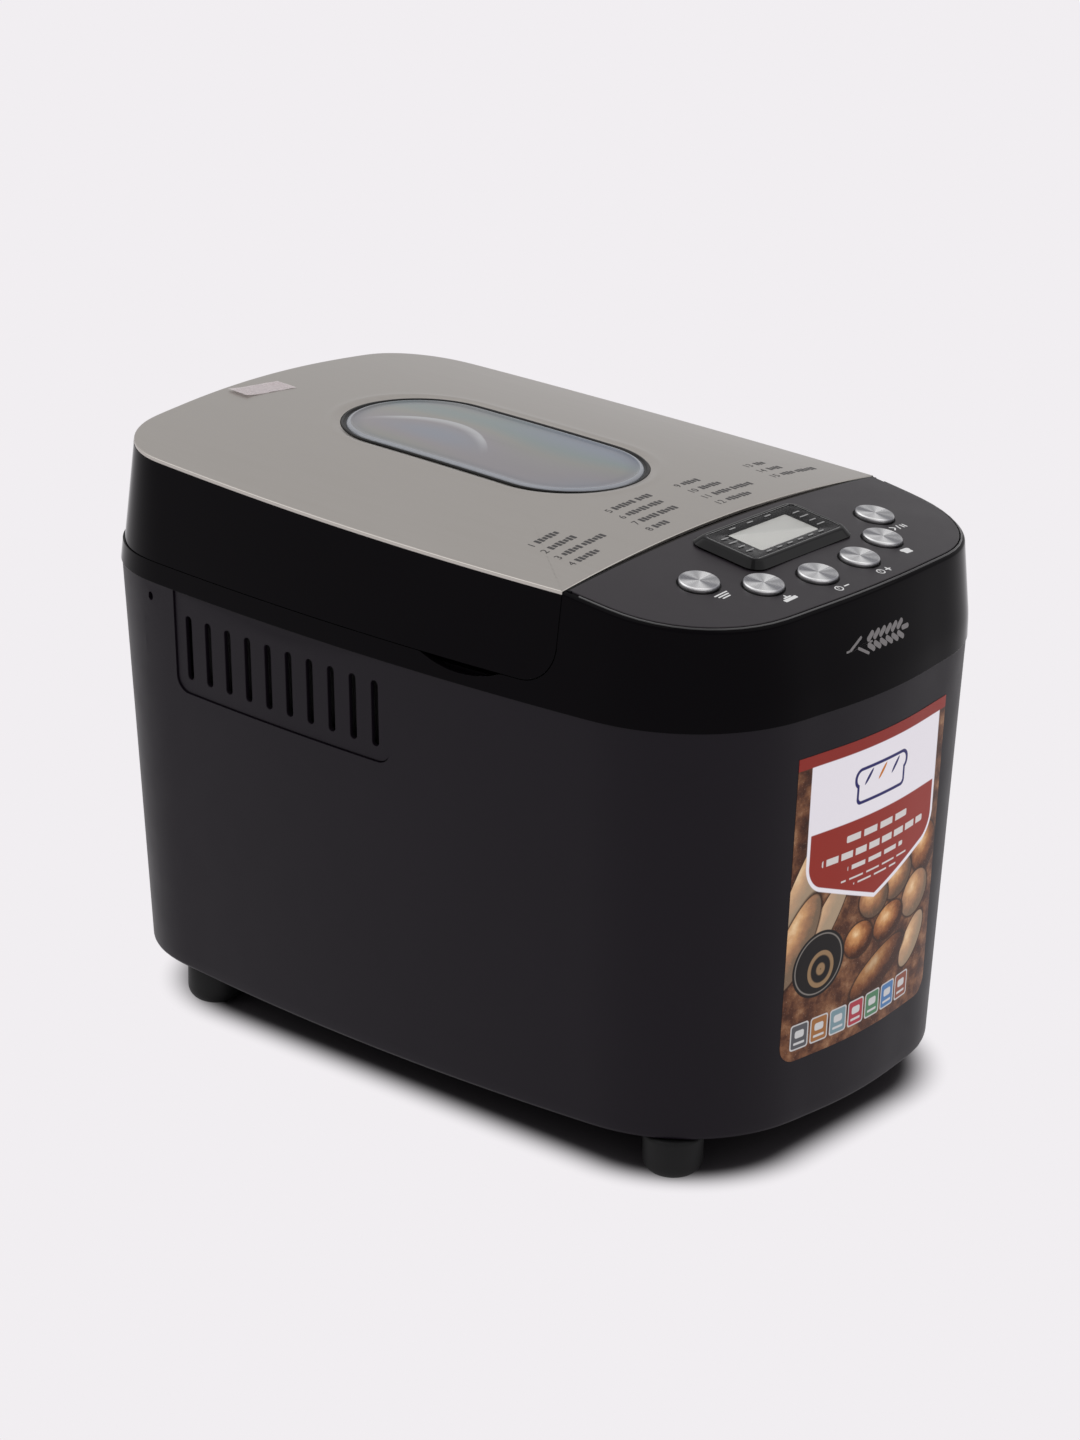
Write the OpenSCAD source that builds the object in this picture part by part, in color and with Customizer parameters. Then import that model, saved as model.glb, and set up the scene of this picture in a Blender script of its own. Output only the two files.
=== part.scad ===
// Two-paddle bread machine, millimetres. +Z is up, the control panel faces -Y, X runs across.
// The origin is on the table under the middle of the case.

/* [Case] */
// Half width of the case at the belt, before the side bow
belt_w = 124.1; // [118:0.1:130]
// Half length of the case at the belt, before the end bow
belt_l = 201; // [195:0.5:206]
// Outward bow of the long sides
side_bow = 5.9; // [2:0.1:8]
// Outward bow of the short ends
end_bow = 4.5; // [2:0.1:6]
// Height of the lower edge of the case above the table
case_z = 21; // [19:0.5:23]
// Height of the belt where the two housings meet
belt_z = 226.3; // [224:0.1:228]
// Height of the seam under the lid
seam_z = 236.5; // [235:0.1:238]
// Height of the lid's upper edge at mid length
lid_z = 283.5; // [280:0.5:287]
// Wall thickness of the moulded shells
wall = 3; // [2.4:0.1:3.4]

/* [Lid] */
// Front face of the lid
lid_front = -109; // [-112:0.5:-106]
// Rise of the steel top across its width
lid_crown = 9; // [5:0.5:12]
// Rise of the lid from front to rear, as a slope
lid_slope = 0.0212; // [0:0.001:0.03]
// Radius of the lower front corners
lid_corner = 18; // [14:0.5:22]
// Half length of the window opening
window_l = 86; // [80:0.5:88]
// Half width of the window opening
window_w = 41.5; // [36:0.5:44]
// Middle of the window and of the baking chamber
bake_y = 33; // [30:1:35]

/* [Control panel] */
// Rise of the panel across its width
panel_crown = 6; // [3:0.5:7]
// Fall of the panel towards the front, as a slope
panel_slope = 0.14; // [0.1:0.01:0.16]
// Radius of a button cap
button_r = 9.5; // [8:0.1:10]
// Height of a button cap above the panel
button_rise = 2.6; // [2:0.1:3]

/* [Baking chamber] */
// Half width of the chamber
chamber_w = 92; // [90:0.5:94]
// Half length of the chamber
chamber_l = 120; // [118:0.5:121]
// Height of the chamber floor's underside
floor_z = 68; // [67.5:0.1:68.5]
// Half width of the pan
pan_w = 67; // [64:0.5:68]
// Half length of the pan
pan_l = 104; // [100:0.5:105]
// Height of the pan's underside
pan_z = 86; // [85.8:0.1:86.2]
// Height of the pan's rim
pan_top = 202; // [198:0.5:203]

/* [Drive] */
// Distance between the two kneading shafts
shaft_gap = 100; // [96:1:104]
// Radius of every shaft
shaft_r = 4; // [3.8:0.1:4]
// Groove radius of the drive pulleys
pulley_r = 36; // [32:0.5:37]
// Groove radius of the motor pulley
motor_pulley_r = 7; // [6:0.5:8]
// Middle of the motor
motor_y = -148; // [-149:0.5:-146]

/* [Hidden] */
$fn = 64;
far = 400;

// Plan outlines: half width, front, rear, front radius, rear radius, side, front and rear bow
plan_bottom = [belt_w - 10.3, belt_l - 2.6, belt_l - 7.5, 74.7, 62.2, side_bow + 0.7, 3.2, end_bow];
plan_belt = [belt_w, belt_l, belt_l, 75.4, 60.5, side_bow, end_bow, end_bow];
plan_seam = [belt_w - 1.1, belt_l - 0.6, belt_l - 0.6, 73, 60, side_bow, 4, end_bow];
plan_top = [belt_w - 6.9, belt_l - 8, belt_l - 13, 62, 43, 4.9, 3.5, 3];
plan_lid = [belt_w - 1.1, belt_l - 0.6, belt_l - 2, 73, 60, side_bow, 4, 1.2];

panel_z = lid_z + lid_slope * lid_front;      // panel height at its rear edge
panel_t = 2.6;                                // panel thickness
panel_gap = 2.2;                              // from the case edge to the panel
lid_gap = 0.4;                                // between lid and housing all round
steel_t = 1.6;                                // steel top
lid_deck = 5;                                 // steel top and the moulded deck under it
deck_z = 230;                                 // underside of the deck round the chamber
deck_t = 3;
liner_z = 239.6;
hinge_y = belt_l + 0.7;
hinge_z = seam_z + 1;
hinge_x = 42;                                 // middle of each hinge
hinge_r = 3.8;
pin_r = 1.5;
run_gap = 0.05;                               // radial clearance of a running fit
foot_r = 14.3;
foot_front = [89, -160];
foot_rear = [95, 130];
screw_x = 98;
screw_front_y = -108;
screw_rear_y = 108;
vent_y0 = -15;
vent_y1 = 129;
vent_z0 = 174;
vent_z1 = 236;                                // open at the belt
slot_n = 10;
slot_pitch = 13.85;
slot_z0 = 181.5;
slot_z1 = 214.6;
slot_w = 4.2;
label_z = 130.5;
label_w = 57.8;                               // half width
label_h = 76.5;                               // half height
gland_x = 40;
gland_z = 47;
base_t = 3;
base_z = case_z + 0.5;
sheet = 1.2;                                  // chamber sheet
shaft_front_y = bake_y - shaft_gap / 2;
shaft_rear_y = bake_y + shaft_gap / 2;
coupler_z = 70;
pulley_z = 29.5;
belt_h = 6;
belt_t = 3;
belt_a_z = 30.5;                              // motor belt
belt_b_z = 39.5;                              // link belt
belt_gap = 0.3;
handle_r = 2.5;
handle_z = 194;
handle_x = 76;
handle_reach = pan_l + 6.5;
element_r = 3.3;
element_z = 78;
element_w = 80;
element_l = 108;
element_bend = 15;
element_lead = 20;
sensor_z = 102;
display_y = -136.5;
display_w = 35.3;
display_d = 16.4;
display_rise = 3.5;
display_skirt = 6;
display_round = 5;
board_drop = 17;
switch_h = 4.2;
button_at = [[-67.6, -146], [-46, -166], [-16.2, -174.3], [16.2, -174.3], [46, -166], [67.6, -146]];
paddle_z = 95;
mount_top = 31;                               // top of the motor's rubber mounts
motor_z = 54;                                 // underside of the motor's lower end plate
motor_h = 60;                                 // from one end plate to the other
stator_h = 44;
post_at = 38;                                 // motor posts and rubber mounts, from its middle
foot_neck = 9;
foot_shoulder = 7.5;
boss_r = 5;
boss_h = 34;
pin_hole_y = 146;                             // small hole in the left wall
pin_hole_z = 218.5;
notch_y = -57;                                // finger notch: middle, radius and depth
notch_r = 58;
notch_deep = 5;
knuckle_w = 15;
ear_at = 10;                                  // middle of an ear from the middle of its hinge
tab_at = [-16, 174];                          // pull tab of the protective film
lid_screw_x = 106;
lid_screw_y = [-78, 120];
chamber_round = 20;
chamber_lip = 6;
sensor_y = 60;
pan_round = 22;
pan_wall = 1.8;
pan_lip = 3;
paddle_hub = 9;

function lerp(a, b, t) = a + (b - a) * t;
function grown(o, g) = [o[0] + g, o[1] + g, o[2] + g, o[3] + g, o[4] + g, o[5], o[6], o[7]];

// Quarter circle of a plan outline
function arc_run(c, r, a0, n = 10) =
  [for (i = [0:n - 1]) c + r * [cos(a0 + 90 * i / n), sin(a0 + 90 * i / n)]];

// Straight run of a plan outline, pushed outward by a parabola
function bow_run(p, q, out, bow, n = 6) =
  [for (i = [0:n - 1]) let (t = i / n) lerp(p, q, t) + 4 * bow * t * (1 - t) * out];

// Closed outline, anticlockwise from the rear of the left side
function outline(o) = let (w = o[0], f = -o[1], b = o[2], rf = o[3], rr = o[4]) concat(
  bow_run([-w, b - rr], [-w, f + rf], [-1, 0], o[5]),
  arc_run([rf - w, f + rf], rf, 180),
  bow_run([rf - w, f], [w - rf, f], [0, -1], o[6]),
  arc_run([w - rf, f + rf], rf, 270),
  bow_run([w, f + rf], [w, b - rr], [1, 0], o[5]),
  arc_run([w - rr, b - rr], rr, 0),
  bow_run([w - rr, b], [rr - w, b], [0, 1], o[7]),
  arc_run([rr - w, b - rr], rr, 90));

// Case outline at a height
function case_at(z) =
  z < belt_z ? lerp(plan_bottom, plan_belt, (z - case_z) / (belt_z - case_z)) :
  z < seam_z ? lerp(plan_belt, plan_seam, (z - belt_z) / (seam_z - belt_z)) :
  lerp(plan_seam, plan_top, (z - seam_z) / (lid_z - seam_z));
function lid_at(z) = lerp(plan_lid, plan_top, (z - seam_z) / (lid_z - seam_z));

// Closed solid through rings of equal length
module skin(rings) {
  n = len(rings[0]);
  m = len(rings);
  sides = [for (k = [0:m - 2], i = [0:n - 1], h = [0, 1])
    let (a = k * n + i, b = k * n + (i + 1) % n)
    h == 0 ? [a, a + n, b + n] : [a, b + n, b]];
  low = [for (i = [0:n - 1]) i];
  top = [for (i = [0:n - 1]) (m - 1) * n + n - 1 - i];
  polyhedron([for (r = rings, p = r) p], concat(sides, [low], [top]));
}
function lift(o, z) = [for (p = outline(o)) [p[0], p[1], z]];

// Solid of the case between two heights, grown by g all round
module case_block(g, z0, z1) {
  cuts = [for (z = [belt_z, seam_z]) if (z > z0 + 0.01 && z < z1 - 0.01) z];
  skin([for (z = concat([z0], cuts, [z1])) lift(grown(case_at(z), g), z)]);
}
module lid_block(g, z0, z1) skin([for (z = [z0, z1]) lift(grown(lid_at(z), g), z)]);

// Everything below the crowned steel top, and below the crowned panel, moved by dz
module crowned(at, slope, crown, half) {
  r = half * half / (2 * crown) + crown / 2;
  translate(at) rotate([atan(slope), 0, 0]) translate([0, 0, crown - r]) rotate([90, 0, 0])
    cylinder(r = r, h = 2 * far, center = true, $fn = 720);
}
module below_lid(dz) crowned([0, 0, lid_z + dz], lid_slope, lid_crown, plan_top[0]);
module below_panel(dz) {
  crowned([0, lid_front, panel_z + dz], panel_slope, panel_crown, plan_top[0]);
}
// Height of the panel's surface, and its normal's tilt about X and Y
function panel_at(p) = panel_z + panel_crown * (1 - pow(p[0] / plan_top[0], 2))
  + panel_slope * (p[1] - lid_front);
function tilt_x(p) = atan(panel_slope);
function tilt_y(p) = asin(2 * panel_crown * p[0] / pow(plan_top[0], 2) * cos(tilt_x(p)));
module on_panel(p) translate([p[0], p[1], panel_at(p)]) rotate([tilt_x(p), tilt_y(p), 0]) children();

// Side view of the lid, swept across the whole width
module lid_profile(g) {
  rotate([90, 0, 90]) linear_extrude(2 * far, center = true) {
    translate([lid_front + lid_corner, seam_z + 0.3 + lid_corner]) circle(lid_corner + g, $fn = 96);
    translate([lid_front - g, seam_z + 0.3 + lid_corner]) square([far, far]);
    translate([lid_front + lid_corner, seam_z + 0.3 - g]) square([far, far]);
  }
}
module slab(y0, y1, z0, z1) translate([-far, y0, z0]) cube([2 * far, y1 - y0, z1 - z0]);

module round_rect(w, l, r) {
  square([2 * w, 2 * (l - r)], center = true);
  square([2 * (w - r), 2 * l], center = true);
  for (x = [r - w, w - r], y = [r - l, l - r]) translate([x, y]) circle(r);
}
module stadium(w, l) {
  square([2 * w, 2 * (l - w)], center = true);
  for (y = [w - l, l - w]) translate([0, y]) circle(w, $fn = 96);
}
module at_bake(z) translate([0, bake_y, z]) children();
module at_shafts() for (y = [shaft_front_y, shaft_rear_y]) translate([0, y, 0]) children();
module mirrored() {
  children();
  mirror([1, 0, 0]) children();
}
module ring(r_out, r_in, z0, z1) {
  translate([0, 0, z0]) difference() {
    cylinder(r = r_out, h = z1 - z0);
    translate([0, 0, -1]) cylinder(r = r_in, h = z1 - z0 + 2);
  }
}

// ---- case ----
module vent_window(g) {
  translate([0, (vent_y0 + vent_y1) / 2, (vent_z0 + vent_z1) / 2]) rotate([90, 0, 90])
    linear_extrude(far) round_rect((vent_y1 - vent_y0) / 2 + g, (vent_z1 - vent_z0) / 2 + g, 8);
}
module screw_boss() {
  for (y = [screw_front_y, screw_rear_y]) mirrored() {
    translate([screw_x, y, base_z + base_t + 0.5]) cylinder(r = boss_r, h = boss_h);
    translate([screw_x, y - 1.2, base_z + base_t + 0.5]) cube([16, 2.4, boss_h]);
  }
}
module lower_housing() {
  color("#1d1b1f") difference() {
    union() {
      difference() {
        case_block(-0.6, case_z, belt_z - 0.1);
        case_block(-0.6 - wall, case_z - 0.1, belt_z);
      }
      screw_boss();
    }
    mirrored() vent_window(0.2);
    for (y = [screw_front_y, screw_rear_y]) mirrored()
      translate([screw_x, y, case_z]) cylinder(r = 1.8, h = 30);
    translate([gland_x, belt_l - 30, gland_z]) rotate([-90, 0, 0]) cylinder(r = 6.1, h = 60);
    translate([-far, pin_hole_y, pin_hole_z]) rotate([0, 90, 0]) cylinder(r = 1.8, h = far);
  }
}

// Scoop in the rim under the lid's long edge
module finger_notch() {
  translate([belt_w - 3, notch_y, seam_z - notch_deep + notch_r]) rotate([0, 90, 0])
    cylinder(r = notch_r, h = 20, $fn = 180);
}
module upper_housing() {
  color("#0b0b0c") difference() {
    intersection() {
      case_block(0, belt_z, lid_z + 18);
      below_panel(0);
    }
    lid_profile(lid_gap);
    case_block(-wall - 0.4, belt_z - 0.1, deck_z);
    intersection() {
      case_block(-wall - 1.2, deck_z - 0.1, lid_z + 18);
      slab(-far, lid_front - lid_gap - wall, deck_z - 0.1, far);
      below_panel(-panel_t - wall);
    }
    intersection() {
      case_block(-wall - 1.2, deck_z + deck_t, lid_z);
      slab(lid_front - lid_gap + wall, far, deck_z + deck_t, far);
    }
    difference() {
      intersection() {
        case_block(-panel_gap, seam_z + 1, lid_z + 18.1);
        slab(-far, lid_front - lid_gap - 1.6, seam_z, far);
      }
      below_panel(-panel_t - 0.1);
    }
    intersection() {
      case_block(-wall - 6, seam_z + 1, lid_z + 18.1);
      slab(-far, lid_front - lid_gap - 7, seam_z, far);
    }
    at_bake(deck_z - 1) linear_extrude(deck_t + 2) round_rect(chamber_w - 5, chamber_l - 4, 16);
    mirrored() finger_notch();
    for (x = [-hinge_x, hinge_x]) translate([x, hinge_y, hinge_z]) rotate([0, 90, 0])
      cylinder(r = hinge_r + 0.5, h = 25, center = true);
  }
  color("#0b0b0c") hinge_ears();
}
module hinge_ears() {
  for (x = [-hinge_x, hinge_x], s = [-1, 1]) translate([x + s * ear_at, hinge_y, hinge_z]) difference() {
    hull() {
      rotate([0, 90, 0]) cylinder(r = hinge_r, h = 4, center = true);
      translate([-2, -hinge_r, -6]) cube([4, 2 * hinge_r, 2]);
    }
    rotate([0, 90, 0]) cylinder(r = pin_r, h = 6, center = true);
  }
}

module base_plate() {
  color("#161518") difference() {
    translate([0, 0, base_z]) linear_extrude(base_t)
      polygon(outline(grown(case_at(base_z), -0.6 - wall - 0.3)));
    for (y = [-60:12:108], x = [-30, 30]) translate([x - 18, y, base_z - 1]) cube([36, 4, base_t + 2]);
    for (p = concat(foot_points(), screw_points())) translate([p[0], p[1], base_z - 1])
      cylinder(r = 2.3, h = base_t + 2);
  }
}
function foot_points() = [for (p = [foot_front, foot_rear], s = [-1, 1]) [s * p[0], p[1]]];
function screw_points() = [for (y = [screw_front_y, screw_rear_y], x = [-screw_x, screw_x]) [x, y]];

// Rubber foot: flat tread, rounded shoulder and a counterbore for its screw
module foot(p) {
  color("#0e0e0f") translate([p[0], p[1], 0]) rotate_extrude() difference() {
    union() {
      square([foot_neck, base_z]);
      translate([0, foot_shoulder]) square([foot_r, case_z - 0.2 - foot_shoulder]);
      translate([foot_r - foot_shoulder, foot_shoulder]) circle(foot_shoulder);
    }
    translate([0, -1]) square([2.3, far]);
    translate([0, -1]) square([4.6, 7]);
    translate([-far, -far]) square([far, 2 * far]);
  }
}
module foot_front_left() foot(foot_points()[0]);
module foot_front_right() foot(foot_points()[1]);
module foot_rear_left() foot(foot_points()[2]);
module foot_rear_right() foot(foot_points()[3]);

module screw(head_z, length) {
  translate([0, 0, head_z - 2.4]) cylinder(r1 = 3.4, r2 = 4.2, h = 2.4);
  translate([0, 0, head_z - 0.01]) cylinder(r = 1.75, h = length);
}
module case_screws() {
  color("#b9bbbf") {
    for (p = foot_points()) translate([p[0], p[1], 0]) screw(6, 20);
    for (p = screw_points()) translate([p[0], p[1], 0]) screw(base_z, 26);
  }
}

module vent_grille() {
  difference() {
    intersection() {
      difference() {
        case_block(-1.3, vent_z0 - 2, belt_z - 0.4);
        case_block(-3.9, vent_z0 - 3, belt_z);
      }
      vent_window(0);
    }
    for (i = [0:slot_n - 1])
      translate([60, vent_y0 + 9 + i * slot_pitch - slot_w / 2 + 0.7, 0]) slot_cut();
  }
}
module slot_cut() {
  translate([0, slot_w / 2, slot_z0 + slot_w / 2]) rotate([0, 90, 0]) cylinder(r = slot_w / 2, h = 90);
  translate([0, 0, slot_z0 + slot_w / 2]) cube([90, slot_w, slot_z1 - slot_z0 - slot_w]);
  translate([0, slot_w / 2, slot_z1 - slot_w / 2]) rotate([0, 90, 0]) cylinder(r = slot_w / 2, h = 90);
}
module vent_grille_left() color("#17161a") mirror([1, 0, 0]) vent_grille();
module vent_grille_right() color("#17161a") vent_grille();

// Printed sheet on the front of the lower housing
module front_label() {
  color("#a8552f") intersection() {
    difference() {
      case_block(-0.3, label_z - label_h - 5, label_z + label_h + 5);
      case_block(-0.55, label_z - label_h - 6, label_z + label_h + 6);
    }
    translate([0, -60, label_z]) rotate([90, 0, 0]) linear_extrude(far)
      round_rect(label_w, label_h, 9);
  }
}

// Split grommet that the mains lead would come out of
module cord_gland() {
  color("#19181a") translate([gland_x, 0, gland_z]) rotate([-90, 0, 0]) {
    difference() {
      union() {
        translate([0, 0, belt_l - 15]) cylinder(r = 6, h = 14);
        translate([0, 0, belt_l - 1.3]) cylinder(r = 9, h = 3.7);
        translate([0, 0, belt_l - 13.4]) cylinder(r = 8, h = 4);
      }
      translate([0, 0, belt_l - 20]) cylinder(r = 3.6, h = 40);
    }
  }
}

// ---- control panel ----
module control_panel_face() {
  color("#262326") difference() {
    intersection() {
      case_block(-panel_gap - 0.25, seam_z + 2, lid_z + 17);
      slab(-far, lid_front - lid_gap - 1.9, seam_z, far);
      below_panel(0.4);
    }
    below_panel(0.4 - panel_t);
    for (p = button_at) on_panel(p) cylinder(r = button_r + 0.5, h = 20, center = true);
    on_panel([0, display_y]) linear_extrude(20, center = true)
      round_rect(display_w + 1, display_d + 1, 4);
  }
}
module display_bezel() {
  color("#101011") on_panel([0, display_y]) difference() {
    hull() {
      translate([0, 0, 0.45]) linear_extrude(0.5)
        round_rect(display_w + display_skirt, display_d + display_skirt, display_round + 4);
      translate([0, 0, display_rise]) linear_extrude(0.5) round_rect(display_w, display_d, display_round);
    }
    translate([0, 0, -1]) linear_extrude(20) round_rect(display_w - 5, display_d - 4, 2);
  }
}
module display_window() {
  color("#3a3f42", 0.5) on_panel([0, display_y])
    translate([0, 0, display_rise - 1]) linear_extrude(1.3)
      round_rect(display_w - 5.1, display_d - 4.1, 2);
}
module lcd_module() {
  color("#9fa59a") on_panel([0, display_y]) {
    translate([0, 0, -5]) linear_extrude(5) round_rect(display_w - 6, display_d - 5, 2);
    translate([0, 0, -0.1]) linear_extrude(1.2) round_rect(display_w - 12, display_d - 8, 1);
  }
}
// Board under the panel with a key switch below each button
module control_board() {
  color("#2f6a3c") on_panel([0, -150]) difference() {
    translate([0, 0, -board_drop - 1.6]) linear_extrude(1.6) round_rect(80, 28, 3);
    for (x = [-75, 75]) translate([x, 0, -far / 2]) cylinder(r = 1.6, h = far);
  }
  color("#303033") for (p = button_at) on_panel([0, -150])
    translate([p[0], (p[1] + 150) / cos(tilt_x(p)), -board_drop]) {
      translate([-3, -3, 0]) cube([6, 6, switch_h - 0.8]);
      cylinder(r = 1.7, h = switch_h);
    }
}
// Spun metal cap on a stem that reaches down to its key switch
module button(i) {
  p = button_at[i];
  drop = board_drop - switch_h - 1.3 - panel_crown * pow(p[0] / plan_top[0], 2);
  color("#c9cbcf") on_panel(p) {
    translate([0, 0, button_rise - 0.7]) cylinder(r1 = button_r, r2 = button_r - 0.7, h = 0.7);
    translate([0, 0, -1.2]) cylinder(r = button_r, h = button_rise + 0.5);
    translate([0, 0, -drop]) cylinder(r = 2.2, h = drop);
  }
}
module button_menu() button(0);
module button_weight() button(1);
module button_time_minus() button(2);
module button_time_plus() button(3);
module button_crust() button(4);
module button_start() button(5);

// ---- lid ----
module window_hole(g) at_bake(0) linear_extrude(far) stadium(window_w + g, window_l + g);
module lid_skirt() {
  color("#0c0c0d") difference() {
    intersection() {
      lid_block(0, seam_z + 0.3, lid_z + 18);
      lid_profile(0);
      below_lid(-steel_t - 0.05);
    }
    intersection() {
      lid_block(-wall, seam_z - 5, lid_z + 18);
      slab(lid_front + wall, far, seam_z - 5, far);
      below_lid(-lid_deck);
    }
    window_hole(-3.2);
    for (x = [-hinge_x, hinge_x]) translate([x, hinge_y, hinge_z]) rotate([0, 90, 0])
      cylinder(r = hinge_r + 0.8, h = 25, center = true);
  }
  color("#0c0c0d") for (x = [-hinge_x, hinge_x]) hinge_knuckle(x);
}
// Barrel on the lid between the two ears of the housing
module hinge_knuckle(x) {
  difference() {
    union() {
      translate([x, hinge_y, hinge_z]) rotate([0, 90, 0])
        cylinder(r = hinge_r, h = knuckle_w, center = true);
      translate([x - knuckle_w / 2, hinge_y - 8, hinge_z - 0.4]) cube([knuckle_w, 8, 2.6]);
      translate([x - knuckle_w / 2, hinge_y - 8, hinge_z - 0.4]) cube([knuckle_w, 3.5, 12]);
    }
    translate([x, hinge_y, hinge_z]) rotate([0, 90, 0])
      cylinder(r = pin_r + run_gap, h = 20, center = true);
  }
}
module hinge_pins() {
  color("#b4b6ba") for (x = [-hinge_x, hinge_x]) translate([x, hinge_y, hinge_z])
    rotate([0, 90, 0]) cylinder(r = pin_r, h = 23, center = true);
}
module lid_top_plate() {
  color("#a39d94") difference() {
    intersection() {
      lid_block(0, lid_z - 20, lid_z + 18);
      slab(lid_front, far, 0, far);
      below_lid(0);
    }
    below_lid(-steel_t);
    window_hole(0.1);
  }
}
module window_gasket() {
  color("#0a0a0a") difference() {
    intersection() {
      at_bake(lid_z - 10) linear_extrude(40) stadium(window_w, window_l);
      below_lid(0.5);
    }
    below_lid(-steel_t - 0.04);
    window_hole(-2.8);
  }
}
module window_lens() {
  color("#9aa0a6", 0.45) difference() {
    intersection() {
      at_bake(lid_z - 10) linear_extrude(40) stadium(window_w - 2.9, window_l - 2.9);
      below_lid(0.2);
    }
    below_lid(-steel_t - 0.04);
  }
}
module lid_liner() {
  color("#b5b6b8") difference() {
    union() {
      intersection() {
        lid_block(-wall - 0.4, liner_z, liner_z + 1.6);
        slab(lid_front + 12, far, 0, far);
      }
      at_bake(seam_z - 2.5) linear_extrude(liner_z - seam_z + 2.6)
        round_rect(chamber_w + 1, chamber_l + 1, chamber_round);
    }
    at_bake(seam_z - 3) linear_extrude(liner_z - seam_z + 2.9)
      round_rect(chamber_w - 0.5, chamber_l - 0.5, chamber_round - 1.5);
    at_bake(liner_z - 1) linear_extrude(4) round_rect(38, 74, 12);
    for (i = [0:8], s = [-1, 1]) translate([s * 62, bake_y - 48 + i * 12, liner_z - 1])
      cylinder(r = 2, h = 4);
    for (p = lid_screw_points()) translate([p[0], p[1], liner_z - 1]) cylinder(r = 1.9, h = 4);
    for (x = [-hinge_x, hinge_x]) translate([x - 8.5, hinge_y - 9, liner_z - 1]) cube([17, 12, 4]);
  }
}
function lid_screw_points() = [for (x = [-lid_screw_x, lid_screw_x], y = lid_screw_y) [x, y]];
module lid_inner_glass() {
  color("#b9c4c6", 0.4) at_bake(liner_z + 1.65) linear_extrude(4) round_rect(44, 80, 14);
}
module lid_screws() {
  color("#b9bbbf") for (p = lid_screw_points()) translate([p[0], p[1], 0]) screw(liner_z, 10);
}
// Clear protective film's pull tab at the rear left of the steel top
module film_tab() {
  color("#e9d8d6", 0.6) intersection() {
    difference() {
      below_lid(0.25);
      below_lid(0.02);
    }
    translate([tab_at[0], tab_at[1], lid_z - 20]) linear_extrude(60) round_rect(15, 7, 2);
  }
}

// ---- baking chamber ----
module bake_chamber() {
  color("#b9b7b2") difference() {
    at_bake(0) {
      translate([0, 0, floor_z]) linear_extrude(deck_z - floor_z)
        round_rect(chamber_w, chamber_l, chamber_round);
      translate([0, 0, deck_z - 1.5]) linear_extrude(1.45)
        round_rect(chamber_w + chamber_lip, chamber_l + chamber_lip, chamber_round + chamber_lip);
    }
    at_bake(floor_z + sheet) linear_extrude(far)
      round_rect(chamber_w - sheet, chamber_l - sheet, chamber_round - sheet);
    at_shafts() translate([0, 0, floor_z - 1]) cylinder(r = 5, h = 4);
    for (x = [-element_lead, element_lead]) translate([x, bake_y - chamber_l - 5, element_z])
      rotate([-90, 0, 0]) cylinder(r = element_r + 0.4, h = 12);
    translate([chamber_w - 8, sensor_y, sensor_z]) rotate([0, 90, 0]) cylinder(r = 3.3, h = 20);
  }
}
module tube(from, turn, length) translate(from) rotate(turn) cylinder(r = element_r, h = length);
module tube_bend(at, a0) {
  translate(at) rotate([0, 0, a0]) rotate_extrude(angle = 90) translate([element_bend, 0])
    circle(element_r, $fn = 32);
}
// Tubular heater round the foot of the pan, with both ends out through the front wall
module heating_element() {
  in_w = element_w - element_bend;
  in_l = element_l - element_bend;
  lead = element_lead + element_bend;
  color("#5c5a58") at_bake(element_z) {
    for (s = [-1, 1]) {
      tube([s * element_w, -in_l, 0], [-90, 0, 0], 2 * in_l);
      tube([s * lead, -element_l, 0], [0, s * 90, 0], in_w - lead);
      tube([s * element_lead, -chamber_l - 10, 0], [-90, 0, 0], chamber_l + 10 - element_l - element_bend);
    }
    tube([-in_w, element_l, 0], [0, 90, 0], 2 * in_w);
    tube_bend([in_w, in_l, 0], 0);
    tube_bend([-in_w, in_l, 0], 90);
    tube_bend([-in_w, -in_l, 0], 180);
    tube_bend([in_w, -in_l, 0], 270);
    tube_bend([lead, -element_l - element_bend, 0], 90);
    tube_bend([-lead, -element_l - element_bend, 0], 0);
  }
}
module element_brackets() {
  color("#a9abae") for (s = [-1, 1], y = [-60, 60]) at_bake(floor_z + sheet)
    translate([s * element_w, y, 0]) difference() {
      translate([-6, -3, 0]) cube([12, 6, 13.5]);
      translate([0, -4, element_z - floor_z - sheet]) rotate([-90, 0, 0])
        cylinder(r = element_r + run_gap, h = 8);
    }
}
module temperature_sensor() {
  color("#c8c9cb") {
    translate([74, sensor_y, sensor_z]) rotate([0, 90, 0]) cylinder(r = 3, h = 24);
    translate([chamber_w + 0.1, sensor_y - 12, sensor_z - 6]) difference() {
      cube([1.6, 24, 12]);
      translate([-1, 12, 6]) rotate([0, 90, 0]) cylinder(r = 2.9, h = 4);
    }
  }
}
module pan_clips() {
  color("#aeb0b4") for (s = [-1, 1]) translate([0, bake_y, floor_z + sheet]) {
    translate([s * 57 - 1, -14, 0]) cube([2, 28, 12]);
    translate([s * 61 - 5, -14, 0]) cube([10, 28, 1.5]);
  }
}

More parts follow.
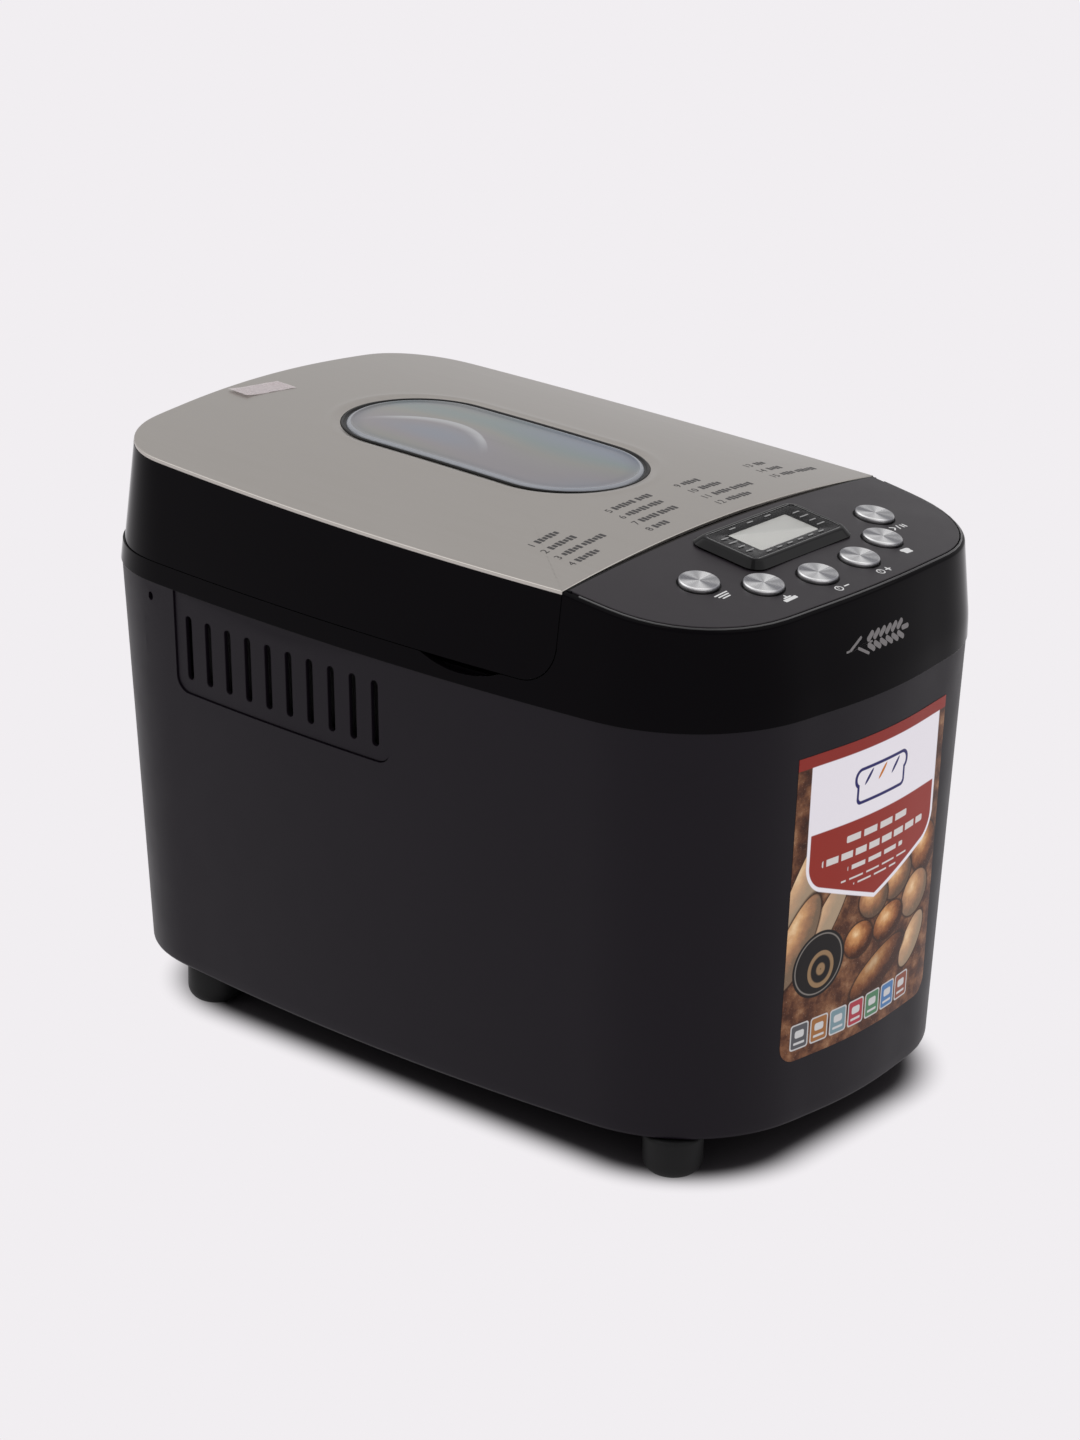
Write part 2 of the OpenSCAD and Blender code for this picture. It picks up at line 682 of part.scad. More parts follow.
// ---- pan ----
module bread_pan() {
  color("#4a4a4d") {
    difference() {
      at_bake(0) {
        translate([0, 0, pan_z]) linear_extrude(pan_top - pan_z) round_rect(pan_w, pan_l, pan_round);
        translate([0, 0, pan_top - 3]) linear_extrude(3)
          round_rect(pan_w + pan_lip, pan_l + pan_lip, pan_round + pan_lip);
        for (s = [-1, 1]) translate([0, s * (pan_l - 0.5), handle_z]) rotate([-90 * s, 0, 0])
          cylinder(r = 6, h = 4.5);
      }
      at_bake(pan_z + 2) linear_extrude(far)
        round_rect(pan_w - pan_wall, pan_l - pan_wall, pan_round - pan_wall);
      at_shafts() translate([0, 0, pan_z - 1]) cylinder(r = 8.1, h = 4);
      for (s = [-1, 1]) at_bake(handle_z) translate([0, s * (pan_l + 0.6), 0]) rotate([-90 * s, 0, 0])
        cylinder(r = handle_r + run_gap, h = 10);
    }
  }
}
module pan_base() {
  color("#8b8c8f") at_bake(pan_z - 11) linear_extrude(10.95) difference() {
    round_rect(55, 80, 14);
    round_rect(53, 78, 12);
  }
}
// Wire bail folded flat round the right-hand side of the pan
module pan_handle() {
  color("#8f9195") at_bake(handle_z) {
    for (s = [-1, 1]) {
      translate([0, s * (pan_l + 0.8), 0]) rotate([-90 * s, 0, 0])
        cylinder(r = handle_r, h = handle_reach - pan_l - 0.8);
      translate([0, s * handle_reach, 0]) sphere(handle_r);
      translate([0, s * handle_reach, 0]) rotate([0, 90, 0]) cylinder(r = handle_r, h = handle_x);
      translate([handle_x, s * handle_reach, 0]) sphere(handle_r);
    }
    translate([handle_x, -handle_reach, 0]) rotate([-90, 0, 0])
      cylinder(r = handle_r, h = 2 * handle_reach);
  }
}
module shaft_bushings() {
  color("#b08d57") at_shafts() rotate_extrude() {
    translate([shaft_r + run_gap, pan_z - 8]) square([4 - run_gap, 14]);
    translate([shaft_r + 3, pan_z - 3]) square([5, 2.95]);
    translate([shaft_r + 3, pan_z + 2.05]) square([5, 4]);
  }
}
module paddle_shaft() {
  color("#c3c5c8") {
    translate([0, 0, coupler_z + 2.4]) cylinder(r = shaft_r, h = 51.6);
    translate([-3.5, -12, coupler_z + 2.4]) cube([7, 24, 5]);
  }
}
module paddle_shaft_front() translate([0, shaft_front_y, 0]) paddle_shaft();
module paddle_shaft_rear() translate([0, shaft_rear_y, 0]) paddle_shaft();

// Hub with a swept blade that rises towards its tip
module kneading_paddle() {
  color("#55565a") difference() {
    union() {
      cylinder(r = paddle_hub, h = 24);
      hull() {
        translate([4, 0, 1]) cylinder(r = 4, h = 21, $fn = 32);
        translate([26, 6, 1]) cylinder(r = 2, h = 26, $fn = 32);
      }
      hull() {
        translate([26, 6, 1]) cylinder(r = 2, h = 26, $fn = 32);
        translate([36, 14, 1]) cylinder(r = 1.6, h = 17, $fn = 32);
      }
    }
    translate([0, 0, -1]) cylinder(r = shaft_r + run_gap, h = 40);
  }
}
module kneading_paddle_front() translate([0, shaft_front_y, paddle_z]) kneading_paddle();
module kneading_paddle_rear() {
  translate([0, shaft_rear_y, paddle_z]) rotate([0, 0, 180]) kneading_paddle();
}

// ---- drive ----
module drive_shaft() {
  color("#c3c5c8") {
    translate([0, 0, pulley_z - 1.5]) cylinder(r = shaft_r, h = coupler_z + 2.5 - pulley_z);
    translate([0, 0, coupler_z]) cylinder(r = 14, h = 1.9);
    for (s = [-1, 1]) translate([s * 10 - 2.2, -3, coupler_z + 1]) cube([4.4, 6, 6]);
  }
}
module drive_shaft_front() translate([0, shaft_front_y, 0]) drive_shaft();
module drive_shaft_rear() translate([0, shaft_rear_y, 0]) drive_shaft();

// Flanged groove that carries one belt
module groove(r, z) {
  translate([0, z - 1]) square([r + 2, 0.8]);
  translate([0, z - 0.5]) square([r, belt_h + 1]);
  translate([0, z + belt_h + 0.2]) square([r + 2, 0.8]);
}
module pulley(r, levels) {
  difference() {
    rotate_extrude($fn = 128) for (z = levels) groove(r, z);
    cylinder(r = shaft_r + run_gap, h = far);
  }
}
module drive_pulley_front() {
  color("#d8d6cf") translate([0, shaft_front_y, 0]) difference() {
    union() {
      pulley(pulley_r, [belt_a_z, belt_b_z]);
      ring(pulley_r - 6, shaft_r + run_gap, belt_a_z, belt_b_z + 2);
    }
    lightening_holes();
  }
}
module drive_pulley_rear() {
  color("#d8d6cf") translate([0, shaft_rear_y, 0]) difference() {
    pulley(pulley_r, [belt_b_z]);
    lightening_holes();
  }
}
module lightening_holes() {
  for (i = [0:5]) rotate([0, 0, 60 * i]) translate([19, 0, 0]) cylinder(r = 6, h = far);
}
module motor_pulley() {
  color("#d0cdc4") translate([0, motor_y, 0]) pulley(motor_pulley_r, [belt_a_z]);
}
module drive_bearings() {
  color("#6d6f73") at_shafts() {
    ring(9, shaft_r + run_gap, belt_b_z + belt_h + 4, floor_z - 0.05);
    ring(20, 8.9, floor_z - 3, floor_z - 0.05);
  }
}
// Outer or inner edge of a belt round two pulleys d apart
module belt_loop(r1, r2, d) {
  a = asin((r2 - r1) / d);
  circle(r1, $fn = 96);
  translate([0, d]) circle(r2, $fn = 96);
  polygon([[r1 * cos(a), -r1 * sin(a)], [r2 * cos(a), d - r2 * sin(a)],
           [-r2 * cos(a), d - r2 * sin(a)], [-r1 * cos(a), -r1 * sin(a)]]);
}
module belt(r1, r2, d) {
  linear_extrude(belt_h) difference() {
    belt_loop(r1 + belt_gap + belt_t, r2 + belt_gap + belt_t, d);
    belt_loop(r1 + belt_gap, r2 + belt_gap, d);
  }
}
module motor_belt() {
  color("#1a1a1a") translate([0, motor_y, belt_a_z])
    belt(motor_pulley_r, pulley_r, shaft_front_y - motor_y);
}
module link_belt() {
  color("#1a1a1a") translate([0, shaft_front_y, belt_b_z]) belt(pulley_r, pulley_r, shaft_gap);
}
module motor_rotor() {
  color("#9c9da0") translate([0, motor_y, 0]) {
    translate([0, 0, pulley_z - 1.5]) cylinder(r = shaft_r, h = motor_z + motor_h + 12 - pulley_z);
    translate([0, 0, motor_z + 12]) cylinder(r = 22, h = stator_h - 4);
  }
}
module motor_stator() {
  color("#7c7e82") translate([0, motor_y, motor_z + 10]) linear_extrude(stator_h) difference() {
    round_rect(33, 33, 6);
    circle(22.5);
  }
}
module motor_coils() {
  color("#b4653a") translate([0, motor_y, 0]) {
    ring(31, 24, motor_z + 5, motor_z + 9.9);
    ring(31, 24, motor_z + stator_h + 10.1, motor_z + stator_h + 15);
  }
}
// Two end plates with the motor's bearings, held apart by four posts
module motor_frame() {
  color("#a2a4a8") translate([0, motor_y, 0]) {
    for (z = [motor_z, motor_z + motor_h]) translate([0, 0, z]) linear_extrude(4) difference() {
      round_rect(43, 43, 6);
      circle(shaft_r + run_gap);
      for (a = [45:90:315]) rotate(a) translate([24, 0]) circle(8);
    }
    for (x = [-post_at, post_at], y = [-post_at, post_at]) translate([x, y, mount_top])
      cylinder(r = 4, h = motor_z + motor_h + 3 - mount_top);
  }
}
module motor_mounts() {
  color("#141414") translate([0, motor_y, 0]) for (x = [-post_at, post_at], y = [-post_at, post_at])
    translate([x, y, base_z + base_t]) cylinder(r = 7, h = mount_top - 0.05 - base_z - base_t);
}
module power_board() {
  color("#2f6a3c") translate([-90, -168, 70]) cube([1.6, 66, 84]);
  color("#2b2b2e") translate([-88.4, -160, 118]) cube([16, 22, 26]);
  color("#d9c06a") translate([-88.4, -128, 120]) cube([14, 18, 22]);
  color("#3b3e8a") translate([-88.4, -150, 78]) cube([12, 30, 16]);
}
module run_capacitor() {
  color("#c9ccd0") translate([66, -140, base_z + base_t]) cylinder(r = 15, h = 62);
}

lower_housing();
upper_housing();
base_plate();
foot_front_left();
foot_front_right();
foot_rear_left();
foot_rear_right();
case_screws();
vent_grille_left();
vent_grille_right();
front_label();
control_panel_face();
display_bezel();
display_window();
lcd_module();
control_board();
button_menu();
button_weight();
button_time_minus();
button_time_plus();
button_crust();
button_start();
lid_skirt();
lid_top_plate();
window_gasket();
window_lens();
lid_liner();
lid_inner_glass();
lid_screws();
hinge_pins();
film_tab();
bake_chamber();
heating_element();
element_brackets();
temperature_sensor();
pan_clips();
bread_pan();
pan_base();
pan_handle();
shaft_bushings();
paddle_shaft_front();
paddle_shaft_rear();
kneading_paddle_front();
kneading_paddle_rear();
drive_shaft_front();
drive_shaft_rear();
drive_pulley_front();
drive_pulley_rear();
drive_bearings();
link_belt();
motor_belt();
motor_rotor();
motor_pulley();
motor_stator();
motor_coils();
motor_frame();
motor_mounts();
power_board();
run_capacitor();
cord_gland();
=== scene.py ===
import math

import bpy
import numpy as np
from mathutils import Matrix, Vector
from mathutils.geometry import delaunay_2d_cdt


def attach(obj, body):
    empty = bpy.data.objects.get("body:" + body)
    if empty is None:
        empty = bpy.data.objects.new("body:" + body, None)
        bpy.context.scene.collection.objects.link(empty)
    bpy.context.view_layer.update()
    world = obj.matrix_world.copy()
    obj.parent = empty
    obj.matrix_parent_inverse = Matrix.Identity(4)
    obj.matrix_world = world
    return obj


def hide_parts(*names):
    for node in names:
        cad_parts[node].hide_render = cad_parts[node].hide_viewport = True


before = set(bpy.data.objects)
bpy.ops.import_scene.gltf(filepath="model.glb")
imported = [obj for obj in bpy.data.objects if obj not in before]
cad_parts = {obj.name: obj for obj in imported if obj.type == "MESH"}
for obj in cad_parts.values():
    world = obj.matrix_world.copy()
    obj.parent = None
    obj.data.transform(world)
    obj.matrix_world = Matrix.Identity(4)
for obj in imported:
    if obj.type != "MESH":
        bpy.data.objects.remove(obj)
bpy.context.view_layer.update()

# Lengths are millimetres in the case's own frame until a mesh is made.
MM = 0.001

# Plan outlines: half width, front, rear, front and rear corner radius, side, front and rear bow
HEIGHTS = np.array([21.0, 226.3, 236.5, 283.5])
CASE_PLANS = np.array([
    [113.8, 198.4, 193.5, 74.7, 62.2, 6.6, 3.2, 4.5],
    [124.1, 201.0, 201.0, 75.4, 60.5, 5.9, 4.5, 4.5],
    [123.0, 200.4, 200.4, 73.0, 60.0, 5.9, 4.0, 4.5],
    [117.2, 193.0, 188.0, 62.0, 43.0, 4.9, 3.5, 3.0],
])
LID_PLANS = np.array([[123.0, 200.4, 199.0, 73.0, 60.0, 5.9, 4.0, 1.2], CASE_PLANS[3]])

TOP_HALF = 117.2          # half width that the crowns are measured over
LID_FRONT = -109.0
LID_Z = 283.5
LID_SLOPE = 0.0212
PANEL_Z = 281.19
PANEL_SLOPE = 0.14
PANEL_CROWN = 6.0
BAKE_Y = 33.0
WINDOW_W, WINDOW_L = 41.5, 86.0
CORNER_Y, CORNER_Z, CORNER_R = -91.0, 254.8, 18.0
SEAM_Z = 236.4
BELT_Z = 226.3
DECK_Z = 233.0
HINGE_Y, HINGE_Z = 201.7, 237.5
DISPLAY_Y = -136.5
BUTTONS = {
    "menu": (-67.6, -146.0), "weight": (-46.0, -166.0), "time_minus": (-16.2, -174.3),
    "time_plus": (16.2, -174.3), "crust": (46.0, -166.0), "start": (67.6, -146.0),
}
BUTTON_R = 9.5
DISPLAY_W, DISPLAY_L, DISPLAY_H = 34.6, 16.2, 4.0
FEET = {
    "front_left": (-89, -160), "front_right": (89, -160), "rear_left": (-95, 130), "rear_right": (95, 130),
}
VENT_Y0, VENT_Y1, VENT_Z0, VENT_R = -15.0, 129.0, 174.0, 8.0
SLOTS, SLOT_W, SLOT_Z0, SLOT_Z1, SLOT_FIRST, SLOT_PITCH = 10, 4.2, 181.5, 214.6, -5.3, 13.85
LABEL_W, LABEL_Z0, LABEL_Z1 = 57.8, 54.0, 207.0


# ---------------------------------------------------------------- outlines
def soft_outline(plans, soften=3.5):
    """Right half of each plan outline, from the front centre to the rear centre.

    Straight runs are pushed out by 4 * bow * t * (1 - t) and joined by quarter circles; the closed
    run is then softened by a circular Gaussian, so that its curvature has no steps.
    """
    w, f, b, rf, rr, sb, fb, rb = plans.T[:, :, None]
    side, corner, end = np.arange(128) / 128, np.arange(48) / 48, np.arange(48) / 48
    turn = corner * math.pi / 2
    c, s = np.cos(turn), np.sin(turn)

    def run(p, q, t):
        return p + (q - p) * t

    x = [run(rf - w, w - rf, end), w - rf + rf * s, w + sb * 4 * side * (1 - side),
         w - rr + rr * c, run(w - rr, rr - w, end), rr - w - rr * s,
         -w - sb * 4 * side * (1 - side), rf - w - rf * c]
    y = [-f - fb * 4 * end * (1 - end), rf - f - rf * c, run(rf - f, b - rr, side),
         b - rr + rr * s, b + rb * 4 * end * (1 - end), b - rr + rr * c,
         run(b - rr, rf - f, side), rf - f - rf * s]
    closed = np.stack([np.concatenate(x, 1), np.concatenate(y, 1)], -1)
    n = closed.shape[1]
    wave = np.fft.fftfreq(n)[None, :, None] * math.pi * soften
    closed = np.fft.ifft(np.fft.fft(closed, axis=1) * np.exp(-2 * wave ** 2), axis=1).real
    middle = len(end) // 2
    half = len(end) - middle + 48 + 128 + 48 + middle
    closed = np.roll(closed, -middle, axis=1)[:, :half + 1]
    closed[:, [0, -1], 0] = 0.0
    return closed


def stations(halves, sides, front, rear):
    """Columns of each half outline: `front` equal steps of arc to the first side column, the side
    columns at their own y, and `rear` equal steps of arc to the rear centre."""
    rows = []
    for curve in halves:
        arc = np.concatenate([[0.0], np.cumsum(np.hypot(*np.diff(curve, axis=0).T))])
        at_side = np.interp(sides, curve[:, 1], arc)
        s = np.concatenate([np.linspace(0, at_side[0], front, endpoint=False), at_side,
                            np.linspace(at_side[-1], arc[-1], rear + 1)[1:]])
        rows.append(np.stack([np.interp(s, arc, curve[:, 0]), np.interp(s, arc, curve[:, 1])], -1))
    return np.array(rows)


class Wall:
    """A moulded wall: outlines at a few heights, with straight lines between and beyond them."""

    def __init__(self, heights, plans, sides, front=44, rear=44):
        self.heights = np.asarray(heights, float)
        self.sides = np.asarray(sides, float)
        self.front = front
        self.half = stations(soft_outline(plans), self.sides, front, rear)
        last = self.half.shape[1] - 1
        self.ring = np.concatenate([self.half, self.half[:, last - 1:0:-1] * [-1, 1]], 1)
        step = np.roll(self.ring, -1, 1) - np.roll(self.ring, 1, 1)
        step /= np.linalg.norm(step, axis=-1, keepdims=True)
        self.out = np.stack([step[..., 1], -step[..., 0]], -1)
        self.count = self.ring.shape[1]

    def between(self, z):
        """Number of the outline under each height z, and how far z is towards the next one."""
        k = np.clip(np.searchsorted(self.heights, z) - 1, 0, len(self.heights) - 2)
        return k, (z - self.heights[k]) / (self.heights[k + 1] - self.heights[k])

    def at(self, z, grow=0.0, cols=None):
        """Points at heights z, one row of columns each, moved out along the wall's normal."""
        cols = np.arange(self.count) if cols is None else np.asarray(cols)
        z = np.broadcast_to(z, np.broadcast_shapes(np.shape(z), (1, len(cols))))
        grow = np.broadcast_to(grow, z.shape)[..., None]
        k, t = self.between(z)
        t = t[..., None]
        p = self.ring[k, cols] * (1 - t) + self.ring[k + 1, cols] * t
        n = self.out[k, cols] * (1 - t) + self.out[k + 1, cols] * t
        return np.concatenate([p + grow * n, z[..., None]], -1)

    def side_x(self, y, z, grow=0.0):
        """Half width of the wall's long side at each y and z."""
        span = slice(self.front, self.front + len(self.sides))
        x = np.array([np.interp(y, self.sides, row[span, 0]) for row in self.half])
        k, t = self.between(z)
        return np.choose(k, list(x[:-1])) * (1 - t) + np.choose(k, list(x[1:])) * t + grow

    def front_y(self, x, z, grow=0.0):
        """y of the wall's front at each x and z."""
        y = np.array([np.interp(abs(x), row[:self.front, 0], row[:self.front, 1]) for row in self.half])
        k, t = self.between(z)
        return np.choose(k, list(y[:-1])) * (1 - t) + np.choose(k, list(y[1:])) * t - grow

    def meet(self, surface, grow, cols):
        """Where the wall's columns meet a surface, a height over x and y: three steps up or down."""
        place = self.at(np.full((1, len(cols)), LID_Z), 0, cols)[0]
        for _ in range(3):
            place = self.at(surface(place[:, 0], place[:, 1])[None], grow, cols)[0]
        return place


def crown(y):
    """The steel top's rise across its width: highest at the window, less towards both ends."""
    d = (y - BAKE_Y) / 150.0
    return 10.5 - np.where(d < 0, 3.2, 2.4) * d ** 2


def lid_top(x, y):
    """Height of the steel top: a crown falling off with the square of x on a gentle slope in y."""
    return LID_Z + LID_SLOPE * y + crown(y) * (1 - (x / TOP_HALF) ** 2)


def panel_top(x, y):
    """Height of the control panel: a shallow crown on a slope that falls to the front."""
    return PANEL_Z + 0.4 + PANEL_SLOPE * (y - LID_FRONT) + PANEL_CROWN * (1 - (x / TOP_HALF) ** 2)


def panel_frame(x, y):
    """Matrix that places a piece on the panel, its z along the panel's normal (millimetres)."""
    dx, dy = -2 * PANEL_CROWN * x / TOP_HALF ** 2, PANEL_SLOPE
    normal = Vector((-dx, -dy, 1)).normalized()
    across = Vector((1, 0, dx)).normalized()
    m = Matrix((across, normal.cross(across), normal)).transposed().to_4x4()
    m.translation = (x, y, float(panel_top(x, y)) - 0.4)
    return np.array(m)


def placed(points, matrix):
    """Points carried by a matrix."""
    return points @ matrix[:3, :3].T + matrix[:3, 3]


def on_lid(flat, h):
    """Points over flat x and y places, h above the steel top."""
    return np.column_stack([flat, lid_top(flat[:, 0], flat[:, 1]) + h])


def on_panel(flat, h):
    """Points over flat x and y places, h above the control panel."""
    return np.column_stack([flat, panel_top(flat[:, 0], flat[:, 1]) + h])


# ---------------------------------------------------------------- meshes
def link(name, data):
    """New object in the scene."""
    thing = bpy.data.objects.new(name, data)
    bpy.context.scene.collection.objects.link(thing)
    return thing


class Build:
    """Collects vertices and faces, and joins what meets before the mesh is made."""

    def __init__(self):
        self.points, self.faces, self.uvs, self.size = [], [], [], 0

    def add(self, points, faces, uv=None):
        """Points, blocks of faces that number them, and their places on the piece's map."""
        points = np.asarray(points, float).reshape(-1, 3)
        self.points.append(points)
        self.uvs.append(np.zeros((len(points), 2)) if uv is None else np.asarray(uv, float).reshape(-1, 2))
        self.faces += [np.asarray(f) + self.size for f in faces]
        self.size += len(points)
        return self

    def grid(self, points, wrap_u=False, wrap_v=False, flip=False, uv=None, keep=None):
        """Quads over rows v and columns u; a wrapped side joins its last line to its first."""
        v, u = points.shape[:2]
        rows, columns = np.arange(v if wrap_v else v - 1), np.arange(u if wrap_u else u - 1)
        i, j = np.meshgrid(rows, columns, indexing="ij")
        i2, j2 = (i + 1) % v, (j + 1) % u
        quad = np.stack([i * u + j, i * u + j2, i2 * u + j2, i2 * u + j], -1)
        quad = quad[keep] if keep is not None else quad.reshape(-1, 4)
        return self.add(points, [quad[:, ::-1] if flip else quad], uv)

    def cap(self, loop, flip=False, uv=None):
        """One many-sided face over a closed loop."""
        order = np.arange(len(loop))[None]
        return self.add(loop, [order[:, ::-1] if flip else order], uv)

    def tube(self, loops, flip=False, ends=(True, True), uv=None):
        """Closed loops joined in turn, with a face over each end."""
        loops = np.asarray(loops, float)
        self.grid(loops, wrap_u=True, flip=flip, uv=uv)
        if ends[0]:
            self.cap(loops[0], not flip, None if uv is None else uv[0])
        if ends[1]:
            self.cap(loops[-1], flip, None if uv is None else uv[-1])
        return self

    def leaf(self, top, under, uv=None):
        """Thin sheet: its top, its underside and the four edges between them."""
        self.grid(top, uv=uv).grid(under, flip=True, uv=uv)
        ends = ((np.s_[0], True), (np.s_[-1], False), (np.s_[:, 0], False), (np.s_[:, -1], True))
        for line, flip in ends:
            edge_uv = None if uv is None else np.array([uv[line], uv[line]])
            self.grid(np.array([top[line], under[line]]), flip=flip, uv=edge_uv)
        return self

    def joined(self, weld):
        """Points, and for each face its corners and their map: points within weld of each other
        become one, and a face that loses a side by it is cut down or dropped."""
        points, uv = np.concatenate(self.points), np.concatenate(self.uvs)
        first = same = np.arange(len(points))
        if weld:
            key = np.round(points / weld).astype(np.int64)
            _, first, same = np.unique(key, axis=0, return_index=True, return_inverse=True)
            same = same.reshape(-1)
        corners, sizes, maps = [], [], []

        def keep(corner, block):
            corners.append(corner.ravel())
            maps.append(uv[block].reshape(-1, 2))
            sizes.append(np.full(len(corner), corner.shape[1]))

        for block in self.faces:
            corner = same[block]
            if block.shape[1] <= 4:
                twin = corner == np.roll(corner, -1, 1)
                if block.shape[1] == 4:
                    for k in range(4):
                        lost = twin[:, k] & (twin.sum(1) == 1)
                        left = [i for i in range(4) if i != k]
                        if lost.any():
                            keep(corner[lost][:, left], block[lost][:, left])
                whole = ~twin.any(1)
                corner, block = corner[whole], block[whole]
            keep(corner, block)
        return points[first], np.concatenate(corners), np.concatenate(sizes), np.concatenate(maps)

    def make(self, name, body, material, slot, sharp=35.0, weld=0.002, solid=None, bevel=None, replaces=()):
        """Makes the piece, with a wall of `solid` and rounded edges of `bevel`, and lets it ride."""
        points, corners, sizes, uv = self.joined(weld)
        mesh = bpy.data.meshes.new(name)
        mesh.vertices.add(len(points))
        mesh.vertices.foreach_set("co", (points * MM).astype(np.float32).ravel())
        mesh.loops.add(len(corners))
        mesh.loops.foreach_set("vertex_index", corners.astype(np.int32))
        mesh.polygons.add(len(sizes))
        mesh.polygons.foreach_set("loop_start", (np.cumsum(sizes) - sizes).astype(np.int32))
        mesh.polygons.foreach_set("loop_total", sizes.astype(np.int32))
        mesh.update(calc_edges=True)
        mesh.validate()
        layer = mesh.uv_layers.new(name="UVMap")
        if len(layer.data) == len(corners):
            layer.data.foreach_set("uv", uv.astype(np.float32).ravel())
        mesh.polygons.foreach_set("use_smooth", np.ones(len(mesh.polygons), bool))
        mesh.set_sharp_from_angle(angle=math.radians(sharp))
        mesh.materials.append(material)
        thing = link(name, mesh)
        if solid:
            wall = thing.modifiers.new("thickness", "SOLIDIFY")
            wall.thickness, wall.offset, wall.use_even_offset = solid * MM, -1.0, True
        if bevel:
            edge = thing.modifiers.new("edge", "BEVEL")
            edge.width, edge.segments, edge.limit_method = bevel * MM, 3, "ANGLE"
            edge.angle_limit, edge.harden_normals = math.radians(50), True
        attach(thing, body)
        if replaces:
            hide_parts(*replaces)


def round_rect(w, l, r, n=12, side=6):
    """Loop of a rounded rectangle with half sizes w, l: quarter circles and straight runs between."""
    a = np.arange(n) / n * math.pi / 2
    c, s, t = np.cos(a), np.sin(a), np.arange(side) / side
    x, y = w - r, l - r
    parts = [(x + r * c, y + r * s), (x - 2 * x * t, l + 0 * t),
             (-x - r * s, y + r * c), (-w + 0 * t, y - 2 * y * t),
             (-x - r * c, -y - r * s), (-x + 2 * x * t, -l + 0 * t),
             (x + r * s, -y - r * c), (w + 0 * t, -y + 2 * y * t)]
    return np.concatenate([np.stack(p, -1) for p in parts])


def circle(r, n):
    """Loop of n points on a circle of radius r."""
    a = np.arange(n) / n * 2 * math.pi
    return np.stack([r * np.cos(a), r * np.sin(a)], -1)


def stadium(w, straight, n=40, side=24):
    """Loop of a stadium of half width w whose straight sides run over +-straight."""
    a, t = np.arange(n) / n * math.pi, np.arange(side) / side
    parts = [(w * np.cos(a), straight + w * np.sin(a)), (-w + 0 * t, straight - 2 * straight * t),
             (-w * np.cos(a), -straight - w * np.sin(a)), (w + 0 * t, -straight + 2 * straight * t)]
    return np.concatenate([np.stack(p, -1) for p in parts])


def inside(points, loop):
    """Even-odd rule, for all points and all edges of the loop at once."""
    x, y = points[:, None, 0], points[:, None, 1]
    x1, y1 = loop.T
    x2, y2 = np.roll(loop, -1, 0).T
    rise = np.where(y2 == y1, 1e-9, y2 - y1)
    crossing = ((y1 > y) != (y2 > y)) & (x < (x2 - x1) * (y - y1) / rise + x1)
    return crossing.sum(1) % 2 == 1


def pane(outer, holes, step):
    """Flat sheet with holes: the loops are kept as edges, a lattice fills the sheet, Delaunay
    triangles join them, and those in a hole or past the outline are dropped."""
    loops = [np.asarray(outer, float)] + [np.asarray(h, float) for h in holes]
    edge = np.concatenate(loops)
    low, high = outer.min(0), outer.max(0)
    gx, gy = np.meshgrid(*(np.arange(low[k] + step / 2, high[k], step) for k in (0, 1)))
    gx = gx + (np.arange(gx.shape[0])[:, None] % 2) * step / 2
    lattice = np.stack([gx.ravel(), gy.ravel()], -1)
    lattice = lattice[inside(lattice, loops[0])]
    for hole in loops[1:]:
        lattice = lattice[~inside(lattice, hole)]
    gap = np.sqrt(((lattice[:, None] - edge[None]) ** 2).sum(-1).min(1))
    lattice = lattice[gap > step * 0.55]
    points = np.concatenate([edge, lattice])
    edges, start = [], 0
    for loop in loops:
        k = np.arange(len(loop))
        edges += np.stack([k + start, (k + 1) % len(loop) + start], -1).tolist()
        start += len(loop)
    found = delaunay_2d_cdt([Vector(p) for p in points], edges, [], 0, 1e-5)
    flat = np.array([tuple(v) for v in found[0]])
    tris = np.array([f for f in found[2] if len(f) == 3])
    centre = flat[tris].mean(1)
    keep = inside(centre, loops[0])
    for hole in loops[1:]:
        keep &= ~inside(centre, hole)
    tris = tris[keep]
    a, b, c = flat[tris[:, 0]], flat[tris[:, 1]], flat[tris[:, 2]]
    turned = (b[:, 0] - a[:, 0]) * (c[:, 1] - a[:, 1]) - (b[:, 1] - a[:, 1]) * (c[:, 0] - a[:, 0])
    tris[turned < 0] = tris[turned < 0][:, ::-1]
    return flat, tris[abs(turned) > 1e-6]


# ---------------------------------------------------------------- materials
class Value:
    """A number or a node socket, so that shader maths can be written as Python expressions."""

    def __init__(self, finish, source):
        self.finish, self.source = finish, source

    def _math(self, operation, *operands):
        return self.finish.node("ShaderNodeMath", {"operation": operation}, dict(enumerate(operands)))[0]

    def __add__(self, other):
        return self._math("ADD", self, other)

    __radd__ = __add__

    def __sub__(self, other):
        return self._math("SUBTRACT", self, other)

    def __rsub__(self, other):
        return self._math("SUBTRACT", other, self)

    def __mul__(self, other):
        return self._math("MULTIPLY", self, other)

    __rmul__ = __mul__

    def __truediv__(self, other):
        return self._math("DIVIDE", self, other)

    def low(self, other):
        return self._math("MINIMUM", self, other)

    def high(self, other):
        return self._math("MAXIMUM", self, other)

    def __abs__(self):
        return self._math("ABSOLUTE", self)

    def root(self):
        return self._math("SQRT", self)

    def sine(self):
        return self._math("SINE", self)

    def ease(self, low, high):
        """0 below low, 1 above high, and a smooth step between."""
        return self.finish.node("ShaderNodeMapRange", {"interpolation_type": "SMOOTHSTEP"},
                                {"Value": self, "From Min": low, "From Max": high})[0]


